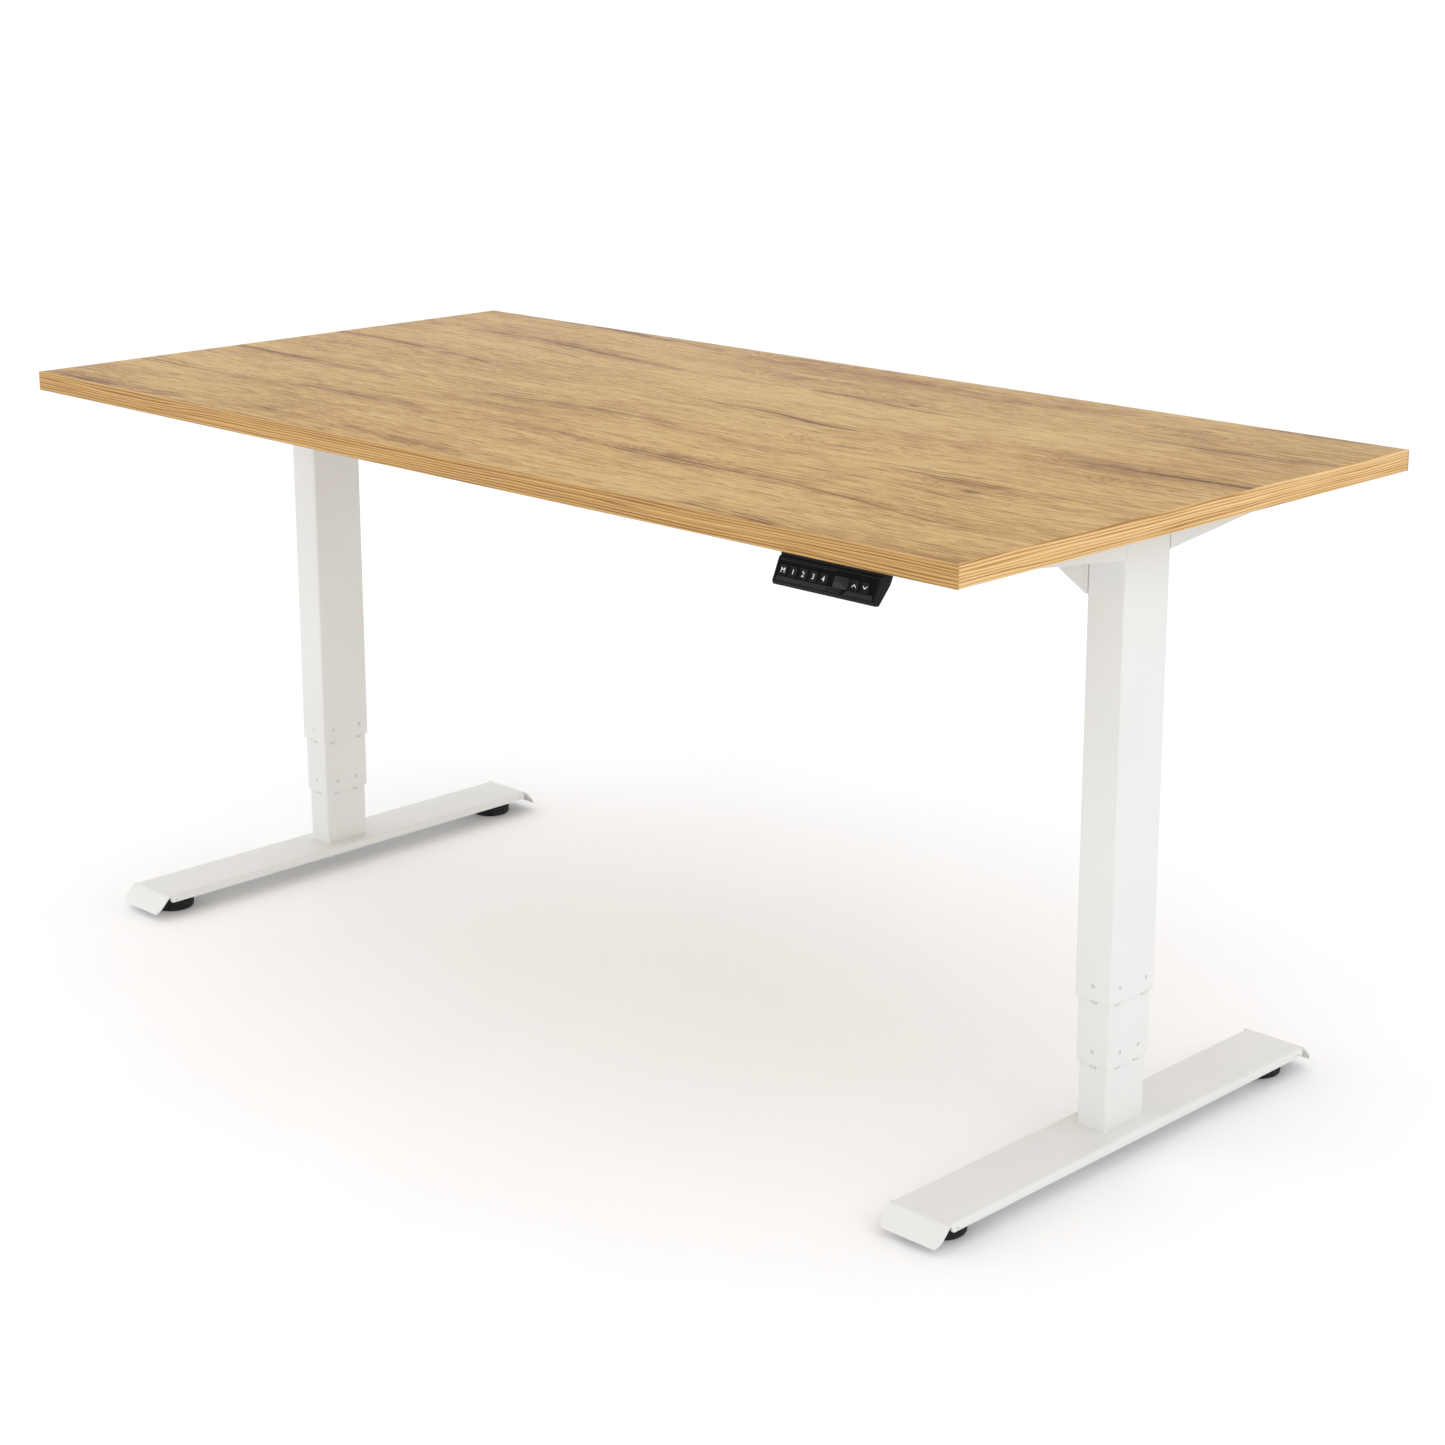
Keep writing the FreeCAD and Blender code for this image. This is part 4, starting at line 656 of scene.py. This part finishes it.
class DESK_OT_glides(bpy.types.Operator):
    """Levelling glides with grip ribs round their sides"""
    bl_idname = "desk.glides"
    bl_label = "Levelling glides"

    def execute(self, context):
        ribs = context.scene.desk_sizes.glide_ribs
        for side in SIDES:
            for end in ENDS:
                node = "levelling_glide_%s_%s" % (end, side)
                low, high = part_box(node)
                centre = ((low.x + high.x) / 2, (low.y + high.y) / 2, 0.0)
                surface = revolved(glide_profile(), centre, ribs * 6, glide_ripple(ribs))
                build(node + "_surface", *surface, FINISHES["glide"], node, "glide_rubber", [node],
                      GLIDE_SMOOTH)
        return {"FINISHED"}


# the glide, in metres
SOLE_RADIUS, SOLE_RIM = 0.0235, 0.0042  # the flat sole and the rounding round it
SIDE_RADIUS, TOP_RIM = 0.0277, 0.0019   # the ribbed side and the rounding above it
SIDE_FOOT, SIDE_HEAD = 0.0045, 0.0118   # levels between which the side is upright
STUD_RADIUS, STUD_TOP = 0.0040, 0.0289
GROOVE_DEPTH = 0.0011                   # how far the side drops between two ribs


def glide_profile():
    """(radius, level) up the glide: flat sole, rounded lower rim, ribbed side, domed top and plain stud."""
    t = np.linspace(0, math.pi / 2, 7)
    sole = [(0.0005, 0.0), (0.020, 0.0), (SOLE_RADIUS, 0.0)]
    rim = [(SOLE_RADIUS + SOLE_RIM * math.sin(a), SOLE_RIM * (1 - math.cos(a))) for a in t]
    side = [(SIDE_RADIUS, z) for z in np.linspace(SIDE_FOOT, SIDE_HEAD, 8)]
    top = [(SIDE_RADIUS - TOP_RIM * (1 - math.cos(a)), SIDE_HEAD + TOP_RIM * math.sin(a)) for a in t]
    dome = [(0.018, 0.01390), (0.0085, 0.01395), (0.0080, 0.0139), (STUD_RADIUS, 0.0139)]
    stud = [(STUD_RADIUS, 0.0285), (0.0036, STUD_TOP), (0.0005, STUD_TOP)]
    return sole + rim + side + top[1:] + dome + stud


def glide_ripple(ribs):
    """Ribs on the side: between two of them the radius drops as the root of a sine's absolute value."""
    def ripple(angle, radius, level):
        on_side = 1.0 if radius > 0.0262 and 0.0035 < level < 0.0131 else 0.0
        return -GROOVE_DEPTH * on_side * (1.0 - np.abs(np.sin(angle * ribs / 2)) ** 0.5)
    return ripple


# ---------------------------------------------------------------- operators: frame under the top
class DESK_OT_under_frame(bpy.types.Operator):
    """Side brackets, crossbeam and head brackets"""
    bl_idname = "desk.under_frame"
    bl_label = "Frame under the top"

    def execute(self, context):
        rounding = context.scene.desk_sizes.coat_round
        for side in SIDES:
            for kind in ("side_bracket", "crossbeam_end", "head_bracket"):
                node = "%s_%s" % (kind, side)
                refined_copy(node, FINISHES["coat"], node + "_surface", rounding)
            refined_copy("motor_" + side, FINISHES["lacquer"], "motor_%s_surface" % side, FINE_EDGE)
        refined_copy("crossbeam_centre", FINISHES["coat"], "crossbeam_centre_surface", FINE_EDGE)
        return {"FINISHED"}


# ---------------------------------------------------------------- operators: handset
# On the handset's sloping face, in metres: places start at its middle and levels at its surface.
STRIPS = ((-0.0655, 0.003, 0.0015, -0.003),  # ends of each, left and right, and their slants
          (0.0265, 0.0655, 0.0045, 0.0015))
STRIP_FOOT, STRIP_HEAD = 0.0004, 0.0054   # a strip's edges above the lower edge of the face
STRIP_SECTIONS = ((0.0, -0.0006), (0.0, 0.0002), (0.0003, 0.0004))  # (inset, level)
RIB_COUNT = 3
RIB_PLACE = (0.0155, 0.0048)              # the top rib: along the face, and above the lower edge of the face
RIB_STEP = (0.0008, 0.0018)               # each rib lies this far left of and below the last
KEY_HALF, KEY_CORNER = 0.0058, 0.0020     # a key cap: half its width, and its corner
KEY_SECTIONS = ((-0.0006, -0.0025), (-0.0006, -0.0017), (0.0, -0.0017), (0.0, 0.00035), (0.00012, 0.00055),
                (0.00035, 0.00068), (0.0007, 0.00066), (0.0015, 0.00050), (0.0028, 0.00036),
                (0.0045, 0.00030))        # (inset, level): flange, wall, rolled rim and dish
DISH_LEVEL = 0.00030                      # the bottom of the dish, where the sign is printed
CHEVRON_LEVELS = (-0.0001, 0.00012)       # the chevron's film, from the bottom of the dish
SIGN_FILM = 0.00011                       # half the thickness of a letter's or number's film
SIGN_THINNING = -0.00003                  # makes the strokes of the font a little thinner
FONT_SIZE = 1.42                          # font size for a capital one unit high


def face_axes():
    """Middle of the handset's sloping face, its directions along, up and out, and half its height. The
    outward one is against the keys' travel, and the panel's box gives the middle and the height."""
    travel = next(joint["axis"] for joint in frame["joints"] if joint["name"] == "key_1_press")
    out = -np.array(travel, float) / np.linalg.norm(travel)
    along = np.array([1.0, 0.0, 0.0])
    up = np.cross(out, along)
    low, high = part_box("handset_panel")
    half = (high.z - low.z - PANEL_THICK * out[2]) / (2 * up[2])
    centre = np.array([(low.x + high.x) / 2, low.y + half * up[1], high.z - half * up[2]])
    return centre, along, up, out, half


def on_face(vertices):
    """Carry flat (along, up, out) coordinates to the handset's face."""
    centre, along, up, out, _ = face_axes()
    v = np.asarray(vertices, float)
    return centre + v[:, :1] * along + v[:, 1:2] * up + v[:, 2:3] * out


class DESK_OT_handset(bpy.types.Operator):
    """Handset: housing, glossy panel with matt lower strips, display window, keys and their legends"""
    bl_idname = "desk.handset"
    bl_label = "Handset"

    def execute(self, context):
        refined_copy("handset_housing", FINISHES["housing"], "handset_housing_surface", HOUSING_EDGE)
        refined_copy("handset_panel", FINISHES["panel"], "handset_panel_surface", PANEL_EDGE)
        centre, _, _, _, half = face_axes()
        vertices, faces = merge([strip(*ends, half) for ends in STRIPS])
        build("handset_lower_strips", on_face(vertices), faces, FINISHES["strip"], "top", "handset_plastic")
        ribs = [flat_block(RIB_PLACE[0] - RIB_STEP[0] * k, -half + RIB_PLACE[1] - RIB_STEP[1] * k,
                           width=0.0190, height=0.0010, levels=(-0.0002, 0.0006), corner=0.0004)
                for k in range(RIB_COUNT)]
        vertices, faces = merge(ribs)
        build("handset_ribs", on_face(vertices), faces, FINISHES["window"], "top", "handset_plastic")
        ridge, ridge_faces = flat_block(-0.027, half - 0.0012, width=0.076, height=0.0008,
                                        levels=(-0.0002, 0.0005), corner=0.0003)
        build("handset_ridge", on_face(ridge), ridge_faces, FINISHES["window"], "top", "handset_plastic")

        window, faces = flat_block(0.020, 0.0, width=0.0198, height=0.0118, levels=(-0.0014, -0.0001),
                                   corner=0.0012)
        build("display_window_surface", on_face(window), faces, FINISHES["window"], "top", "display_window",
              ["display_window"])
        for node, legend in KEYS.items():
            low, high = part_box(node)
            u = (low.x + high.x) / 2 - centre[0]
            cap, faces = key_cap(u)
            build(node + "_surface", on_face(cap), faces, FINISHES["key"], node, "key_plastic", [node])
            add_legend(node, legend, u, context.scene.desk_sizes.legend_height)
        return {"FINISHED"}


def flat_block(u, v, width, height, levels, corner, rim=0.0002):
    """Rounded block drawn flat on the face: centre (u, v), width, height and (low, high) out of it."""
    return rounded_block((u - width / 2, v - height / 2, levels[0]),
                         (u + width / 2, v + height / 2, levels[1]),
                         corner, rim, 4)


def strip(left, right, slant_left, slant_right, half):
    """Raised matt strip along the lower edge of the face, with slanting ends and a chamfered top."""
    low, high = -half + STRIP_FOOT, -half + STRIP_HEAD
    outline = np.array([(left, low), (right, low), (right - slant_right, high), (left + slant_left, high)])
    middle = outline.mean(0)
    rows = []
    for inset, level in STRIP_SECTIONS:
        shrunk = middle + (outline - middle) * (1 - inset / np.abs(outline - middle))
        rows.append(np.column_stack([shrunk, np.full(4, level)]))
    return loft(rows)


def key_cap(u):
    """Key cap: a rounded square with a flange below, upright walls, a rolled rim and a dished top."""
    rows = []
    for inset, level in KEY_SECTIONS:
        half = KEY_HALF - inset
        outline = rounded_rectangle(2 * half, 2 * half, KEY_CORNER * half / KEY_HALF, 6)
        rows.append(np.column_stack([outline + (u, 0.0), np.full(len(outline), level)]))
    return loft(rows)


def add_legend(node, legend, u, height):
    """Printed sign on a key: a number or letter, or a chevron of two bars, as a thin raised film."""
    if legend in ("up", "down"):
        vertices, faces = chevron(1 if legend == "up" else -1, height)
    else:
        vertices, faces = sign_mesh(legend, height)
    vertices = np.asarray(vertices, float)
    vertices[:, 0] += u
    vertices[:, 2] += DISH_LEVEL
    build(node + "_legend", on_face(vertices), faces, FINISHES["print"], node, "key_plastic")


def chevron(direction, size):
    """V of two bars as wide as the size: each bar is a parallelogram, cut off level at its foot."""
    reach, rise, bar = size * 0.52, size * 0.27, 0.00085
    foot, notch = bar * 0.55, bar * 1.15
    outline = np.array([(-reach, -rise), (0, rise), (reach, -rise), (reach - foot, -rise - foot),
                        (0, rise - notch), (-reach + foot, -rise - foot)])
    outline[:, 1] *= direction
    rows = [np.column_stack([outline, np.full(6, level)]) for level in CHEVRON_LEVELS]
    points = np.concatenate(rows)
    faces = [[0, 1, 4, 5], [1, 2, 3, 4], [11, 10, 7, 6], [10, 9, 8, 7]]
    faces += [[k, (k + 1) % 6, (k + 1) % 6 + 6, k + 6] for k in range(6)]
    return points, faces


def sign_mesh(text, height):
    """Letter or number from the built-in font as a thin solid, centred on the origin."""
    curve = bpy.data.curves.new("sign", "FONT")
    curve.body = text
    curve.size = height * FONT_SIZE
    curve.extrude = SIGN_FILM
    curve.offset = SIGN_THINNING
    curve.align_x = "CENTER"
    curve.align_y = "CENTER"
    holder = bpy.data.objects.new("sign", curve)
    bpy.context.scene.collection.objects.link(holder)
    bpy.context.view_layer.update()
    mesh = bpy.data.meshes.new_from_object(holder.evaluated_get(bpy.context.evaluated_depsgraph_get()))
    vertices = np.array([v.co[:] for v in mesh.vertices])
    faces = [list(p.vertices) for p in mesh.polygons]
    bpy.data.objects.remove(holder)
    bpy.data.meshes.remove(mesh)
    vertices[:, :2] -= (vertices[:, :2].min(0) + vertices[:, :2].max(0)) / 2
    return vertices, faces


# ---------------------------------------------------------------- operators: electrics and fixings
class DESK_OT_control_box(bpy.types.Operator):
    """Control box under the top, with its sockets"""
    bl_idname = "desk.control_box"
    bl_label = "Control box"

    def execute(self, context):
        refined_copy("control_box", FINISHES["box"], "control_box_surface", BLUNT_EDGE)
        dress("control_sockets", FINISHES["socket"])
        return {"FINISHED"}


class DESK_OT_fixings(bpy.types.Operator):
    """Finishes of the screws, bolts, nuts, pads and drive parts that keep their CAD shape"""
    bl_idname = "desk.fixings"
    bl_label = "Fixings and drive"

    def execute(self, context):
        plain = {"damping_pads": "rubber", "frame_nuts": "zinc", "glide_nuts": "zinc", "base_plates": "raw",
                 "base_nuts": "turned", "outer_pads": "acetal", "inner_pads": "acetal",
                 "display_module": "display",
                 "handset_circuit_board": "board"}
        for side in SIDES:
            plain.update({"middle_pads_" + side: "acetal", "gearbox_" + side: "casting",
                          "drive_screw_" + side: "lead_screw", "hollow_screw_" + side: "lead_screw",
                          "middle_hub_" + side: "turned"})
        for node, material in plain.items():
            dress(node, FINISHES[material])
        for node in ("desktop_screws", "frame_bolts", "foot_bolts"):
            refined_copy(node, FINISHES["zinc"], node + "_surface", None)
        return {"FINISHED"}


# ---------------------------------------------------------------- operators: stage
FLOOR_REACH = 30.0               # half the floor's side, in metres
LIGHTS_AIM = (0.0, 0.0, 0.5)     # inside the desk, below its top


class DESK_OT_stage(bpy.types.Operator):
    """Pale floor, soft studio light and the camera"""
    bl_idname = "desk.stage"
    bl_label = "Stage"

    def execute(self, context):
        scene = context.scene
        floor_mesh = bpy.data.meshes.new("floor")
        corners = ((-1, -1), (1, -1), (1, 1), (-1, 1))
        floor_mesh.from_pydata([(FLOOR_REACH * x, FLOOR_REACH * y, 0) for x, y in corners], [],
                               [(0, 1, 2, 3)])
        floor = bpy.data.objects.new("floor", floor_mesh)
        scene.collection.objects.link(floor)
        floor_mesh.materials.append(studio_floor())

        world = bpy.data.worlds.new("studio")
        scene.world = world
        world.use_nodes = True
        tree = world.node_tree
        tree.nodes["Background"].inputs["Color"].default_value = linear("FCFDFF")
        tree.nodes["Background"].inputs["Strength"].default_value = 1.12

        area_light("key_light", (3.4, -0.6, 2.6), size=2.4, power=7.0)
        area_light("fill_light", (-1.1, -1.8, 0.8), size=1.4, power=3.6)
        area_light("low_light", (2.9, -2.0, 0.8), size=2.2, power=7.0)

        camera_data = bpy.data.cameras.new("camera")
        camera = bpy.data.objects.new("camera", camera_data)
        scene.collection.objects.link(camera)
        camera.location = (2.4617, -2.3944, 1.3739)
        camera.rotation_euler = [math.radians(a) for a in (75.935, 0.067, 44.713)]
        camera_data.lens = 69.877
        camera_data.sensor_width = 36.0
        camera_data.shift_y = -0.0848
        camera_data.clip_end = 100.0
        scene.camera = camera
        scene.view_settings.view_transform = "Standard"
        return {"FINISHED"}


def studio_floor():
    # Seamless white paper roll: matt, very slightly mottled.
    material, tree, shader = finish("studio_paper", {"Roughness": 0.9, "Specular IOR Level": 0.2})
    mottle = node(tree, "TexNoise", {"Vector": node(tree, "TexCoord", out="Object"), "Scale": 3.0,
                                     "Detail": 2.0})
    tree.links.new(node(tree, "ValToRGB", [mottle], stops=[(0.3, linear("FBFBFB")), (0.7, linear("FDFDFD"))]),
                   shader.inputs["Base Color"])
    return material


def area_light(name, place, size, power):
    """Square soft box aimed at the middle of the desk."""
    data = bpy.data.lights.new(name, "AREA")
    data.shape = "SQUARE"
    data.size = size
    data.energy = power
    lamp = bpy.data.objects.new(name, data)
    bpy.context.scene.collection.objects.link(lamp)
    lamp.location = place
    lamp.rotation_euler = (Vector(LIGHTS_AIM) - Vector(place)).to_track_quat("-Z", "Y").to_euler()


# ---------------------------------------------------------------- panel and registration
OPERATORS = (DESK_OT_top, DESK_OT_columns, DESK_OT_feet, DESK_OT_glides, DESK_OT_under_frame, DESK_OT_handset,
             DESK_OT_control_box, DESK_OT_fixings, DESK_OT_stage)


class DESK_PT_panel(bpy.types.Panel):
    """Lists the desk's operators and settings"""
    bl_idname = "DESK_PT_panel"
    bl_label = "Height adjustable desk"
    bl_space_type = "VIEW_3D"
    bl_region_type = "UI"
    bl_category = "Desk"

    def draw(self, context):
        for operator in OPERATORS:
            self.layout.operator(operator.bl_idname)
        for group in (context.scene.desk_sizes, context.scene.desk_colours):
            for name in group.__annotations__:
                self.layout.prop(group, name)


CLASSES = (DeskSizes, DeskColours) + OPERATORS + (DESK_PT_panel,)


def register():
    for cls in CLASSES:
        bpy.utils.register_class(cls)
    bpy.types.Scene.desk_sizes = bpy.props.PointerProperty(type=DeskSizes)
    bpy.types.Scene.desk_colours = bpy.props.PointerProperty(type=DeskColours)


def unregister():
    del bpy.types.Scene.desk_sizes
    del bpy.types.Scene.desk_colours
    for cls in reversed(CLASSES):
        bpy.utils.unregister_class(cls)


def main():
    register()
    make_finishes()
    for operator in OPERATORS:
        group, name = operator.bl_idname.split(".")
        getattr(getattr(bpy.ops, group), name)()


if __name__ == "__main__":
    main()
